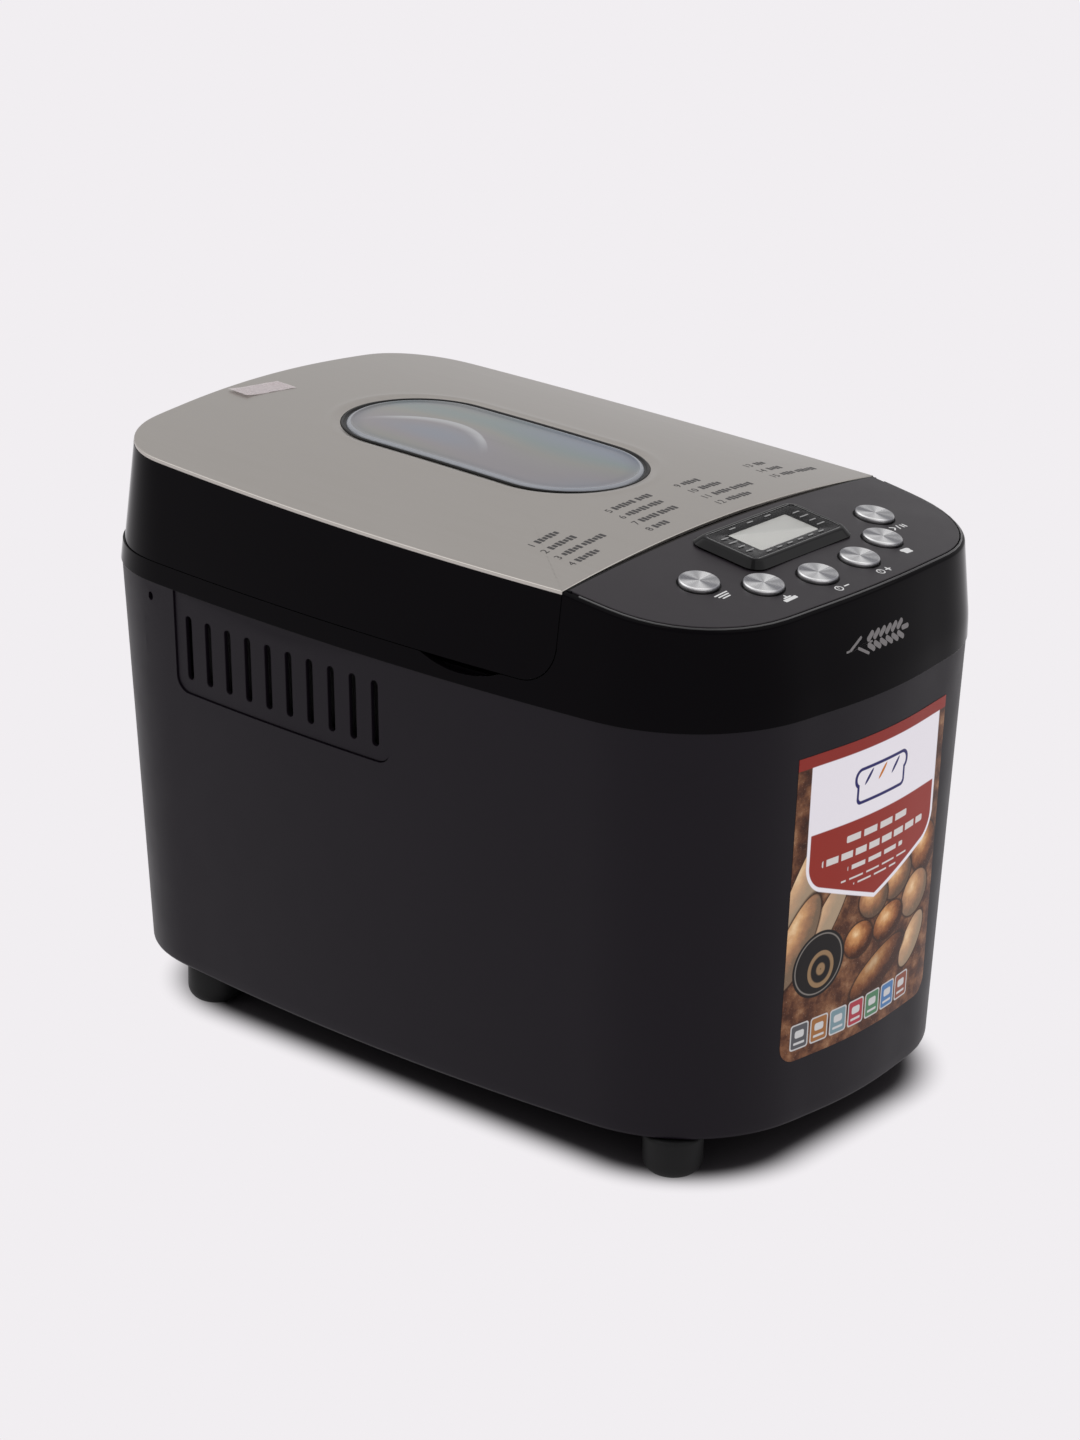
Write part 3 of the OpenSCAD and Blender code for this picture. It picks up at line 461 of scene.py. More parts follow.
class Finish:
    """One material: a Principled shader and the nodes that vary it."""

    def __init__(self, name, colour=(0.5, 0.5, 0.5), rough=0.5, metal=0.0, **constants):
        self.material = bpy.data.materials.new(name)
        self.material.use_nodes = True
        self.tree = self.material.node_tree
        self.shader = self.tree.nodes["Principled BSDF"]
        self.set("Base Color", colour)
        self.set("Roughness", rough)
        self.set("Metallic", metal)
        for key, value in constants.items():
            self.set(key.replace("_", " "), value)
        self.material.diffuse_color = (*colour, 1.0)

    def set(self, socket, value):
        """Gives one of the shader's own sockets a value or a link."""
        self.feed(self.shader.inputs[socket], value)
        return self

    def feed(self, target, value):
        """Links a socket to a value's node, or sets it; a colour gets its fourth number."""
        if isinstance(value, Value):
            self.tree.links.new(value.source, target)
        elif hasattr(value, "__len__") and len(target.default_value) == 4:
            target.default_value = (*value, 1.0)
        else:
            target.default_value = value

    def node(self, kind, settings, values):
        """Any node: its settings first, then a value or a link for each socket; gives its outputs.

        A ramp's two own stops come first, so its list holds the two ends before what lies between.
        """
        made = self.tree.nodes.new(kind)
        for key, value in settings.items():
            if key == "stops":
                ramp = made.color_ramp
                for i, (place, colour) in enumerate(value):
                    stop = ramp.elements[i] if i < 2 else ramp.elements.new(place)
                    stop.position, stop.color = place, (*colour, 1.0)
            else:
                setattr(made, key, value)
        for key, value in values.items():
            self.feed(made.inputs[key], value)
        return [Value(self, out) for out in made.outputs]

    def object_point(self, scale=(1, 1, 1), turn=(0, 0, 0), move=(0, 0, 0)):
        """The piece's own coordinates in metres, scaled, turned and moved."""
        point = self.node("ShaderNodeTexCoord", {}, {})[3]
        values = {"Vector": point, "Scale": scale, "Rotation": turn, "Location": move}
        return self.node("ShaderNodeMapping", {}, values)[0]

    def object_xy(self, scale=1.0):
        """The same point's x and y as two numbers: metres, or millimetres with a scale of 1000."""
        return self.node("ShaderNodeSeparateXYZ", {}, {0: self.object_point((scale,) * 3)})[:2]

    def uv(self):
        """The piece's own map, as two numbers."""
        return self.node("ShaderNodeSeparateXYZ", {}, {0: self.node("ShaderNodeUVMap", {}, {})[0]})[:2]

    def noise(self, scale, detail=3.0, point=None, rough=0.5):
        """Cloudy value from 0 to 1 over the piece's coordinates or another point."""
        point = point or self.object_point()
        values = {"Vector": point, "Scale": scale, "Detail": detail, "Roughness": rough}
        return self.node("ShaderNodeTexNoise", {}, values)[0]

    def ramp(self, stops, amount):
        """Colour that a row of (place, colour) stops gives at an amount."""
        return self.node("ShaderNodeValToRGB", {"stops": stops}, {"Fac": amount})[0]

    def mix(self, amount, a, b):
        """Colour a where amount is 0 and b where it is 1."""
        return self.node("ShaderNodeMix", {"data_type": "RGBA"}, {0: amount, 6: a, 7: b})[2]

    def vary(self, socket, low, high, amount):
        """Feeds a socket between two values or colours by an amount from 0 to 1."""
        if hasattr(low, "__len__"):
            return self.set(socket, self.mix(amount, low, high))
        return self.set(socket, amount * (high - low) + low)

    def bump(self, height, strength, distance):
        """Tilts the surface by a height."""
        values = {"Height": height, "Strength": strength, "Distance": distance}
        return self.set("Normal", self.node("ShaderNodeBump", {}, values)[0])


def shade(colour, k):
    """The same colour, k times as bright."""
    return tuple(c * k for c in colour)


def moulded(name, colour, rough, grain=0.15, size=1800.0, specular=0.5, spread=0.12, **more):
    """Moulded plastic or rubber: slow colour drift, uneven gloss and a fine pebbled skin."""
    f = Finish(name, colour, rough, Specular_IOR_Level=specular, **more)
    drift = f.noise(9.0, 4.0)
    f.vary("Base Color", shade(colour, 1 - spread), shade(colour, 1 + spread), drift)
    f.vary("Roughness", max(rough - 0.05, 0.02), min(rough + 0.05, 1.0), f.noise(60.0, 3.0))
    if grain:
        f.bump(f.noise(size, 2.0), grain, 0.0002)
    return f.material


def gloss(name, colour, rough=0.06, specular=0.2, wave=0.02):
    """Polished plastic: a very slow ripple in the skin and a few dull patches."""
    f = Finish(name, colour, rough, Specular_IOR_Level=specular)
    f.vary("Base Color", shade(colour, 0.85), shade(colour, 1.2), f.noise(6.0, 3.0))
    smear = f.noise(14.0, 5.0).ease(0.45, 0.75)
    f.vary("Roughness", rough, rough + 0.06, smear)
    f.bump(f.noise(22.0, 1.0), wave, 0.002)
    return f.material


def metal(name, colour, rough, stretch=(1, 1, 1), size=900.0, grain=0.12, spread=0.1, **more):
    """Sheet, cast or drawn metal: grain stretched along the way it was worked."""
    f = Finish(name, colour, rough, 1.0, **more)
    point = f.object_point(scale=stretch)
    grainy = f.noise(size, 3.0, point)
    mottle = f.noise(12.0, 4.0) * 0.5 + grainy * 0.5
    f.vary("Base Color", shade(colour, 1 - spread), shade(colour, 1 + spread), mottle)
    f.vary("Roughness", max(rough - 0.06, 0.03), rough + 0.08, grainy)
    f.bump(grainy, grain, 0.0001)
    return f.material


def clear(name, colour, alpha, rough=0.05, tint=(1, 1, 1)):
    """Clear sheet: mostly let through, a little colour that drifts."""
    f = Finish(name, colour, rough, Alpha=alpha)
    f.vary("Base Color", colour, tuple(c * t for c, t in zip(colour, tint)), f.noise(18.0, 2.0))
    return f.material


CASE_SATIN = moulded("case_satin", (0.0068, 0.0048, 0.0080), 0.42, 0.10, 2200.0, 0.135)
CASE_GLOSS = gloss("case_gloss", (0.0018, 0.0013, 0.0020), 0.03, 0.04)
RIM_GLOSS = gloss("rim_gloss", (0.012, 0.011, 0.012), 0.08, 1.0)
BASE_PLASTIC = moulded("base_plastic", (0.0066, 0.0046, 0.0078), 0.42, 0.15, 2000.0, 0.135)
FOOT_RUBBER = moulded("foot_rubber", (0.004, 0.004, 0.0042), 0.55, 0.2, 1200.0, 0.2)
PANEL_SATIN = moulded("panel_satin", (0.024, 0.020, 0.024), 0.36, 0.06, 2500.0, 0.26, spread=0.06)
DISPLAY_BLACK = gloss("display_black", (0.0022, 0.0020, 0.0024), 0.08, 0.16)
GASKET_BLACK = moulded("gasket_black", (0.003, 0.003, 0.003), 0.3, 0.1, 1500.0, 0.2)


def steel_top():
    """Champagne satin steel: long fine rubbing marks along the lid and slow warm and cool drift."""
    f = Finish("top_steel", (0.42, 0.39, 0.36), 0.34, 1.0)
    rub = f.noise(420.0, 2.0, f.object_point(scale=(1, 0.03, 1)))
    slow = f.noise(4.0, 2.0)
    f.vary("Base Color", (0.475, 0.444, 0.405), (0.535, 0.510, 0.485), rub * 0.4 + slow * 0.6)
    f.vary("Roughness", 0.26, 0.36, rub)
    f.bump(rub, 0.05, 0.0001)
    return f.material


def spun_metal():
    """Spun button face: rings round the middle over the map's first number, and a painted highlight and
    painted shade in pale and dark fan-shaped sectors over its second, which counts turns."""
    f = Finish("button_metal", (0.85, 0.85, 0.87), 0.3, 1.0, Anisotropic=0.9)
    u, v = f.uv()
    rings = (u * (34 * math.pi)).sine() * 0.5 + 0.5
    # painted highlight and painted shade: pale and dark fan-shaped sectors round each button, drawn into
    # the base colour
    painted_fans = (v * (4 * math.pi) + 0.9).sine() * 0.38 + (v * (10 * math.pi) + 0.4).sine() * 0.26 + 0.45
    f.vary("Base Color", (0.24, 0.24, 0.26), (1.0, 1.0, 1.0), painted_fans.high(0.0).low(1.0) * 0.9 + rings * 0.1)
    f.vary("Roughness", 0.26, 0.36, rings)
    f.bump(rings, 0.05, 0.0001)
    return f.material


def hazy_lens():
    """Moulded window under its haze: pale blue grey with faint bands of colour from stress in it, a
    painted reflection across it and a painted highlight round its edge.
    """
    f = Finish("lens_clear", (0.25, 0.27, 0.30), 0.2, Coat_Weight=0.35, Coat_Roughness=0.03,
               Specular_IOR_Level=0.35, Alpha=0.96)
    x, y = f.object_xy(1000)
    flow = f.noise(9.0, 2.0, f.object_point(scale=(1.0, 0.35, 1.0)))
    band = f.noise(6.0, 1.0, f.object_point(scale=(2.4, 0.9, 1.0), move=(3.0, 1.0, 0.0)))
    stops = [(0.0, (0.19, 0.21, 0.26)), (1.0, (0.17, 0.19, 0.23)), (0.34, (0.19, 0.23, 0.30)),
             (0.42, (0.27, 0.22, 0.21)), (0.48, (0.27, 0.25, 0.17)), (0.54, (0.17, 0.25, 0.21)),
             (0.62, (0.17, 0.22, 0.32)), (0.72, (0.23, 0.20, 0.26))]
    hue = f.ramp(stops, (flow * 0.6 + band * 0.4 - 0.5) * 1.7 + 0.5)
    colour = f.mix(0.45, hue, (0.20, 0.22, 0.26))
    colour = f.mix(flow.ease(0.35, 0.65) * 0.5, colour, (0.12, 0.13, 0.15))
    # painted reflection: a pale curved band across the lens, laid into its base colour
    along = y - BAKE_Y - 32.0
    bow = x - 9.0 + along * along * 0.0147
    painted_streak = bow.ease(-7.0, 0.3) * (1 - bow.ease(0.3, 1.6)) * (1 - abs(along).ease(22.0, 42.0))
    colour = f.mix(painted_streak * 0.8, colour, (0.50, 0.51, 0.53))
    rim = (abs(y - BAKE_Y) - (WINDOW_L - WINDOW_W)).high(0.0)
    rim = (x * x + rim * rim).root()
    # darker towards the rim
    colour = f.mix(rim.ease(28.0, 35.0) * 0.5, colour, (0.14, 0.15, 0.18))
    # painted highlight: a pale ring along the lens's bevelled edge
    f.set("Base Color", f.mix(rim.ease(36.3, 36.6) * 0.7, colour, (0.36, 0.38, 0.42)))
    f.vary("Roughness", 0.12, 0.3, flow)
    return f.material


def display_face():
    """Reflective display: an even grey green with the faint lattice of its cells."""
    f = Finish("lcd_grey", (0.62, 0.62, 0.57), 0.25)
    x, y = f.object_xy(1000)
    cells = ((x * 4.0).sine() * (y * 4.0).sine()) * 0.5 + 0.5
    f.vary("Base Color", (0.78, 0.78, 0.74), (0.92, 0.92, 0.88), f.noise(25.0, 1.0) * 0.8 + cells * 0.2)
    return f.material


class Sheet:
    """Flat artwork on a finish: shapes in millimetres over a piece's own map."""

    def __init__(self, finish, x, z):
        self.f, self.x, self.z = finish, x, z

    def box(self, cx, cz, w, h, r=0.0, soft=0.25):
        """1 inside a rounded box of half sizes w, h: distance to its inner box less its radius."""
        dx = (abs(self.x - cx) - (w - r)).high(0.0)
        dz = (abs(self.z - cz) - (h - r)).high(0.0)
        return 1 - (dx * dx + dz * dz).root().ease(r - soft + 0.001, r + soft)

    def blob(self, cx, cz, w, h, turn=0.0):
        """Distance from the middle of a turned ellipse, 1 on its edge."""
        c, s = math.cos(turn), math.sin(turn)
        dx, dz = self.x - cx, self.z - cz
        a, b = (dx * c + dz * s) / w, (dz * c - dx * s) / h
        return (a * a + b * b).root()


CRUST = [(0.25, (0.90, 0.62, 0.34)), (1.0, (0.050, 0.014, 0.006)), (0.48, (0.62, 0.30, 0.11)),
         (0.70, (0.30, 0.105, 0.035))]
BOARD_GRAIN = [(0.25, (0.018, 0.007, 0.005)), (0.75, (0.42, 0.24, 0.13)), (0.45, (0.085, 0.030, 0.016)),
               (0.58, (0.20, 0.085, 0.040))]
FLOUR, BURNT, SHADOW = (0.80, 0.62, 0.42), (0.05, 0.02, 0.015), (0.035, 0.014, 0.008)
INK, PALE, GREY = (0.020, 0.018, 0.13), (0.90, 0.87, 0.92), (0.62, 0.62, 0.62)
RED, DEEP_RED = (0.30, 0.030, 0.020), (0.27, 0.028, 0.020)
SHIELD_X = 1.5


def loaves(art, colour, crust):
    """Loaves and rolls in a heap: ellipses with a dark edge, lit from the upper left."""
    f = art.f
    # middle, half sizes, turn and flour, where less than 0 is a dark loaf
    heap = [(-46, 92, 34, 9, 1.05, 0.45), (-34, 66, 27, 7, 0.95, 0.5), (-52, 60, 10, 26, -0.5, 0.2),
            (30, 92, 12, 9, 0.2, 0.1), (8, 86, 11, 10, 0.4, 0.1), (46, 80, 12, 13, 0.1, 0.0),
            (22, 72, 13, 10, 0.3, 0.1), (2, 68, 12, 10, -0.2, 0.1), (40, 58, 13, 11, 0.5, 0.2),
            (16, 52, 13, 9, 0.2, 0.0), (-8, 50, 11, 9, 0.1, 0.0), (40, 34, 15, 8, 0.9, 0.4),
            (10, 30, 24, 9, 0.4, -0.4)]
    for cx, cz, w, h, turn, flour in heap:
        edge = art.blob(cx, cz, w, h, turn)
        lit = art.blob(cx - 0.25 * w, cz + 0.35 * h, w * 1.15, h * 1.15, turn)
        loaf = f.mix(abs(flour), f.ramp(CRUST, lit * 0.75 + crust * 0.5), BURNT if flour < 0 else FLOUR)
        colour = f.mix(1 - edge.ease(0.98, 1.12), colour, SHADOW)
        colour = f.mix(1 - edge.ease(0.94, 1.0), colour, loaf)
    return colour


def shield(art, colour):
    """Pale shield, red below: a box with round corners that runs to a blunt point, with rows of
    plain bars in place of words and an outlined loaf with three slashes."""
    f, x, z = art.f, art.x, art.z
    side = (abs(x - SHIELD_X) - 40.5).high(0.0)
    down = (79.5 + abs(x - SHIELD_X) * 0.36 - z).high(0.0)
    reach = (side * side + down * down * 0.85).root()
    colour = f.mix(1 - reach.ease(9.7, 10.3), colour, PALE)
    colour = f.mix((1 - reach.ease(7.7, 8.3)) * (1 - z.ease(112.7, 113.3)), colour, RED)
    for cz, w, h, beat in ((104.5, 24.0, 1.7, 0.5), (96.5, 40.0, 1.7, 0.62), (89.5, 22.0, 1.15, 0.5),
                           (83.8, 26.0, 0.45, 0.5), (80.6, 17.0, 0.45, 0.5)):
        gaps = (x * beat + cz).sine().ease(-0.9, -0.7)
        colour = f.mix(art.box(SHIELD_X, cz, w, h, h * 0.6, 0.2) * gaps, colour, (0.72, 0.68, 0.66))
    loaf = art.box(SHIELD_X, 126.5, 19.0, 6.5, 3.0).high(art.box(SHIELD_X, 133.0, 21.0, 5.2, 5.0))
    hollow = art.box(SHIELD_X, 126.5, 17.4, 4.9, 2.0).high(art.box(SHIELD_X, 133.0, 19.2, 3.6, 3.5))
    colour = f.mix(loaf - hollow, colour, INK)
    for dx, ink in ((-10.5, INK), (0.0, (0.60, 0.20, 0.03)), (10.5, INK)):
        slash = 1 - art.blob(SHIELD_X + dx, 132.5, 4.6, 0.9, 0.85).ease(0.85, 1.1)
        colour = f.mix(slash, colour, ink)
    return colour


def badge(art, colour):
    """Round black badge with a thin ring near its edge and a coil of rings in its middle."""
    f = art.f
    edge = art.blob(-36.0, 46.0, 17.5, 16.5, 0.35)
    ring = art.blob(-34.5, 43.0, 9.0, 9.5)
    colour = f.mix(1 - edge.ease(0.98, 1.01), colour, (0.012, 0.010, 0.010))
    coil = (ring * 9.0).sine().ease(-0.2, 0.7) * (1 - ring.ease(0.95, 1.0))
    colour = f.mix(coil, colour, (0.30, 0.19, 0.10))
    return f.mix((1 - edge.ease(0.9, 0.93)) * edge.ease(0.86, 0.89), colour, (0.22, 0.20, 0.18))


def tiles(art, colour):
    """Row of seven small tiles, each with a pale edge, its own tint and a plain blot and bar."""
    tints = [(0.10, 0.10, 0.11), (0.35, 0.15, 0.05), (0.20, 0.30, 0.34), (0.40, 0.05, 0.07),
             (0.09, 0.22, 0.12), (0.08, 0.20, 0.42), (0.26, 0.08, 0.05)]
    for i, tint in enumerate(tints):
        cx, cz = -46.0 + i * 13.2, 12.0
        for dz, w, h, r, paint in ((0, 5.9, 6.6, 1.6, (0.60, 0.60, 0.60)), (0, 5.2, 5.9, 1.2, tint),
                                   (1.2, 3.0, 1.9, 1.2, GREY), (-3.4, 3.6, 0.6, 0.4, GREY)):
            colour = art.f.mix(art.box(cx, cz + dz, w, h, r), colour, paint)
    return colour


def label_print():
    """Printed sheet: loaves on a board, a shield, a badge, a row of tiles and a red band on top."""
    f = Finish("label_print", (0.45, 0.2, 0.1), 0.32, Specular_IOR_Level=0.12)
    u, v = f.uv()
    art = Sheet(f, (u - 0.5) * (2 * LABEL_W), v * (LABEL_Z1 - LABEL_Z0))
    point = f.node("ShaderNodeCombineXYZ", {}, {0: art.x, 1: art.z, 2: 0.0})[0]
    crust = f.noise(0.22, 5.0, point, 0.62)
    crumb = f.noise(1.1, 3.0, point, 0.6)
    colour = loaves(art, f.ramp(BOARD_GRAIN, f.noise(0.09, 4.0, point, 0.6)), crust)
    colour = f.mix(crumb.ease(0.60, 0.72) * 0.25, colour, (0.62, 0.48, 0.36))
    colour = tiles(art, badge(art, shield(art, colour)))
    f.set("Base Color", f.mix(art.z.ease(146.8, 147.4), colour, DEEP_RED))
    f.vary("Roughness", 0.26, 0.40, crust)
    return f.material


TOP_STEEL = steel_top()
BUTTON_METAL = spun_metal()
LENS = hazy_lens()
LCD = display_face()
LABEL = label_print()
INK_WHITE = moulded("ink_white", (0.75, 0.75, 0.75), 0.5, 0.0, spread=0.06)
# faint ink for the display's dashes, which also paints the highlight of its hairline frame
FAINT_INK_AND_PAINTED_HIGHLIGHT = moulded("faint_ink_and_painted_highlight", (0.30, 0.30, 0.30), 0.5, 0.0, spread=0.06)
INK_GREY = moulded("ink_grey", (0.040, 0.036, 0.036), 0.5, 0.0, spread=0.1)
MARK_SILVER = metal("mark_silver", (0.22, 0.21, 0.21), 0.45, spread=0.06)
DISPLAY_CLEAR = clear("display_clear", (0.02, 0.02, 0.022), 0.10, 0.04)
FILM = clear("film_clear", (0.85, 0.82, 0.84), 0.42, 0.12, (1.0, 0.86, 0.86))
WELL_BLACK = moulded("well_black", (0.003, 0.003, 0.003), 0.7, 0.1)


# ---------------------------------------------------------------- lower housing
LOWER_TOP, BLOCK_Y0, BLOCK_Y1, BLOCK_Z = 226.15, -27.0, 152.0, 160.0
BELT_STEP = 0.6           # the lower housing stands this far inside the ring above it
lower_sides = np.concatenate([np.linspace(-112, BLOCK_Y0, 16)[:-1], np.linspace(BLOCK_Y0, BLOCK_Y1, 38)])
lower = Wall(HEIGHTS[:2], CASE_PLANS[:2] - BELT_STEP * np.array([1] * 5 + [0] * 3), lower_sides)


def window_path():
    """Edge of the vent window, from the belt down the rear side and up the front side."""
    a = np.linspace(0, math.pi / 2, 11)[1:-1]
    z = VENT_Z0 + VENT_R
    down = [(VENT_Y1, q) for q in np.linspace(LOWER_TOP, z, 9)]
    low = [(q, VENT_Z0) for q in np.linspace(VENT_Y1 - VENT_R, VENT_Y0 + VENT_R, 26)]
    up = [(VENT_Y0, q) for q in np.linspace(z, LOWER_TOP, 9)]
    rear = [(VENT_Y1 - VENT_R + VENT_R * math.cos(t), z - VENT_R * math.sin(t)) for t in a]
    front = [(VENT_Y0 + VENT_R - VENT_R * math.sin(t), z - VENT_R * math.cos(t)) for t in a]
    return down + rear + low + front + up


def lower_housing():
    """Outer skin from a lip under the lower edge, round that edge and up to the belt; a block of it
    on each side is a pane with the vent window cut from it, and a small oval hole in the left one."""
    foot, r = HEIGHTS[0], 2.2
    turn = np.linspace(0, math.pi / 2, 6)
    upper_rows = np.linspace(BLOCK_Z, LOWER_TOP, 9)
    z = np.concatenate([[foot], foot + r - r * np.cos(turn), np.linspace(28, BLOCK_Z, 14)[:-1], upper_rows])
    grow = np.concatenate([[-7.0], r * np.sin(turn) - r, np.zeros(13 + len(upper_rows))])
    skin = lower.at(z[:, None], grow[:, None])
    k = np.searchsorted(lower_sides, [BLOCK_Y0, BLOCK_Y1]) + lower.front
    keep = np.ones((len(z) - 1, lower.count), bool)
    first = len(z) - len(upper_rows)
    keep[first:, k[0]:k[1]] = False
    keep[first:, lower.count - k[1]:lower.count - k[0]] = False
    shell = Build().grid(skin, wrap_u=True, keep=keep)
    cols = lower_sides[(lower_sides >= BLOCK_Y0) & (lower_sides <= BLOCK_Y1)]
    outline = [(BLOCK_Y0, q) for q in upper_rows[::-1]] + [(q, BLOCK_Z) for q in cols[1:-1]]
    outline += [(BLOCK_Y1, q) for q in upper_rows] + window_path()
    hole = circle(1.7, 16) * [1, 1.35] + [146.0, 218.5]
    for sign in (1, -1):
        flat, tris = pane(np.array(outline), [hole] if sign < 0 else [], 7.0)
        x = lower.side_x(flat[:, 0], flat[:, 1])
        shell.add(np.stack([sign * x, flat[:, 0], flat[:, 1]], -1), [tris[:, ::sign]])
    shell.make("lower_housing_shell", "case", CASE_SATIN, "case_satin", weld=0.01, solid=2.8, bevel=0.45,
               replaces=["lower_housing"])


def vent_grille(sign, name):
    """Slotted panel set a little back in the window: a pane with ten stadium slots."""
    gap, back = 0.3, 0.9
    path = np.array(window_path())
    centre = np.array([(VENT_Y0 + VENT_Y1) / 2, 204.0])
    half = centre - [VENT_Y0, VENT_Z0]
    path = centre + (path - centre) * (half - gap) / half
    slot = stadium(SLOT_W / 2, (SLOT_Z1 - SLOT_Z0 - SLOT_W) / 2, 10, 6)
    places = [(SLOT_FIRST + i * SLOT_PITCH, (SLOT_Z0 + SLOT_Z1) / 2) for i in range(SLOTS)]
    flat, tris = pane(path, [slot + place for place in places], 4.5)
    x = lower.side_x(flat[:, 0], flat[:, 1], -back)
    Build().add(np.stack([sign * x, flat[:, 0], flat[:, 1]], -1), [tris[:, ::sign]]).make(
        name + "_panel", "case", BASE_PLASTIC, "base_plastic", solid=2.4, bevel=0.35, replaces=[name])


lower_housing()
vent_grille(1, "vent_grille_right")
vent_grille(-1, "vent_grille_left")


# ---------------------------------------------------------------- upper housing
GAP_R = CORNER_R + 0.4    # the housing's corner stays this far round the lid's
BLOCK_REAR = CORNER_Y - GAP_R
RIM = 4.2
NOTCH_Y, NOTCH_R, NOTCH_DEEP = -57.0, 58.0, 5.0
quarter = np.linspace(0, math.pi / 2, 13)
notch_sides = np.arange(-88.5, -26, 1.5)
upper_sides = np.concatenate([CORNER_Y - GAP_R * np.cos(quarter), notch_sides, np.linspace(-20, 137, 24)])
upper_sides[0] = BLOCK_REAR
upper = Wall(HEIGHTS[1:], CASE_PLANS[1:], upper_sides)
ring_cols = np.arange(upper.front, upper.count - upper.front + 1)
block_cols = np.concatenate([np.arange(upper.count - upper.front, upper.count), np.arange(upper.front + 1)])


def seam_height(y, radius, flat):
    """Edge along the lid: a quarter circle round the lid's lower front corner, then level."""
    d = np.clip(CORNER_Y - y, 0, radius)
    return np.where(y < CORNER_Y, CORNER_Z - np.sqrt(np.maximum(radius ** 2 - d ** 2, 0)), flat)


def notch(y):
    """Finger scoop: the bottom of a large circle that dips under the seam."""
    d = np.clip(abs(y - NOTCH_Y), 0, NOTCH_R - 0.1)
    return np.minimum(SEAM_Z, HEIGHTS[2] - NOTCH_DEEP + NOTCH_R - np.sqrt(NOTCH_R ** 2 - d ** 2))


def ring_profile(t, land):
    """Ring round the case: up its outside to the seam or the scoop, over a flat land, and down."""
    y = upper.ring[1, ring_cols, 1]
    end = np.isin(ring_cols, ring_cols[[0, -1]])
    top = np.minimum(seam_height(y, GAP_R, SEAM_Z), np.where(y < CORNER_Y, np.inf, notch(y)))
    top = np.where(end, CORNER_Z, top)
    out = BELT_Z + t * (top - BELT_Z)
    return np.concatenate([upper.at(out, 0, ring_cols), upper.at(top + 0 * land, land, ring_cols),
                           upper.at(out[::-1], -RIM, ring_cols)])


def block_profile(t):
    """Tall block at the control end: up its outside, round the rim, down to the ledge that carries
    the panel, and down its inside."""
    edge = upper.meet(lambda x, y: panel_top(x, y) - 0.5, 0, block_cols)[:, 2]
    r, a = 1.7, np.linspace(0, math.pi / 2, 7)[1:, None]
    rim, ledge = -2.1, edge[None] - 3.6
    low = BELT_Z + t * (CORNER_Z - BELT_Z) + 0 * edge
    tall = CORNER_Z + np.linspace(0, 1, 9)[1:, None] * (edge - r - CORNER_Z)
    inner = CORNER_Z + np.linspace(1, 0, 5)[:-1, None] * (ledge - CORNER_Z)
    return np.concatenate([
        upper.at(low, 0, block_cols), upper.at(tall, 0, block_cols),
        upper.at(edge - r + r * np.sin(a), -r + r * np.cos(a), block_cols),
        upper.at(edge[None], rim, block_cols), upper.at(ledge, rim, block_cols),
        upper.at(inner, -RIM, block_cols), upper.at(low[::-1], -RIM, block_cols)])


def rear_wall(shell):
    """Wall that closes the block behind the panel: a thin slab from the deck to the panel's height."""
    thick = 3.0
    rear_top = panel_top(np.linspace(-1, 1, 41) * 116, BLOCK_REAR) - 0.5
    z = DECK_Z + np.linspace(0, 1, 9)[:, None] * (rear_top - DECK_Z)
    reach = np.interp(z, HEIGHTS[1:], upper.half[:, upper.front, 0]) - 2.0
    back = np.stack([-np.linspace(-1, 1, 41) * reach, BLOCK_REAR - 0.05 + 0 * z, z], -1)
    slab = np.concatenate([back, (back - [0, thick, 0])[::-1]])
    shell.grid(slab, wrap_v=True).cap(slab[:, 0]).cap(slab[:, -1], True)


def upper_housing():
    """Gloss ring round the case and the tall block at the control end, closed where they part."""
    t = np.linspace(0, 1, 8)[:, None]
    land = np.array([-1.4, -2.8])[:, None]
    block = block_profile(t)
    shell = Build().grid(ring_profile(t, land), wrap_v=True).grid(block, wrap_v=True)
    line = upper.at(CORNER_Z + 0 * land, land, block_cols)
    above = slice(len(t) - 1, len(block) - len(t) + 1)
    for column, flip in ((-1, False), (0, True)):
        shell.cap(np.concatenate([block[above, column], line[::-1, column]]), flip)
    rear_wall(shell)
    shell.make("upper_housing_shell", "case", CASE_GLOSS, "case_gloss", weld=0.01, bevel=0.55,
               replaces=["upper_housing"])


def deck():
    """Flat deck inside the ring, with the mouth of the baking chamber cut from it."""
    rim = upper.at(np.full((1, len(ring_cols)), DECK_Z - 1), -RIM + 0.3, ring_cols)[0, :, :2]
    flat, tris = pane(rim, [round_rect(87, 116, 16) + [0, BAKE_Y]], 12.0)
    Build().add(np.column_stack([flat, np.full(len(flat), DECK_Z)]), [tris]).make(
        "housing_deck", "case", CASE_GLOSS, "case_gloss", solid=3.0, bevel=0.5)


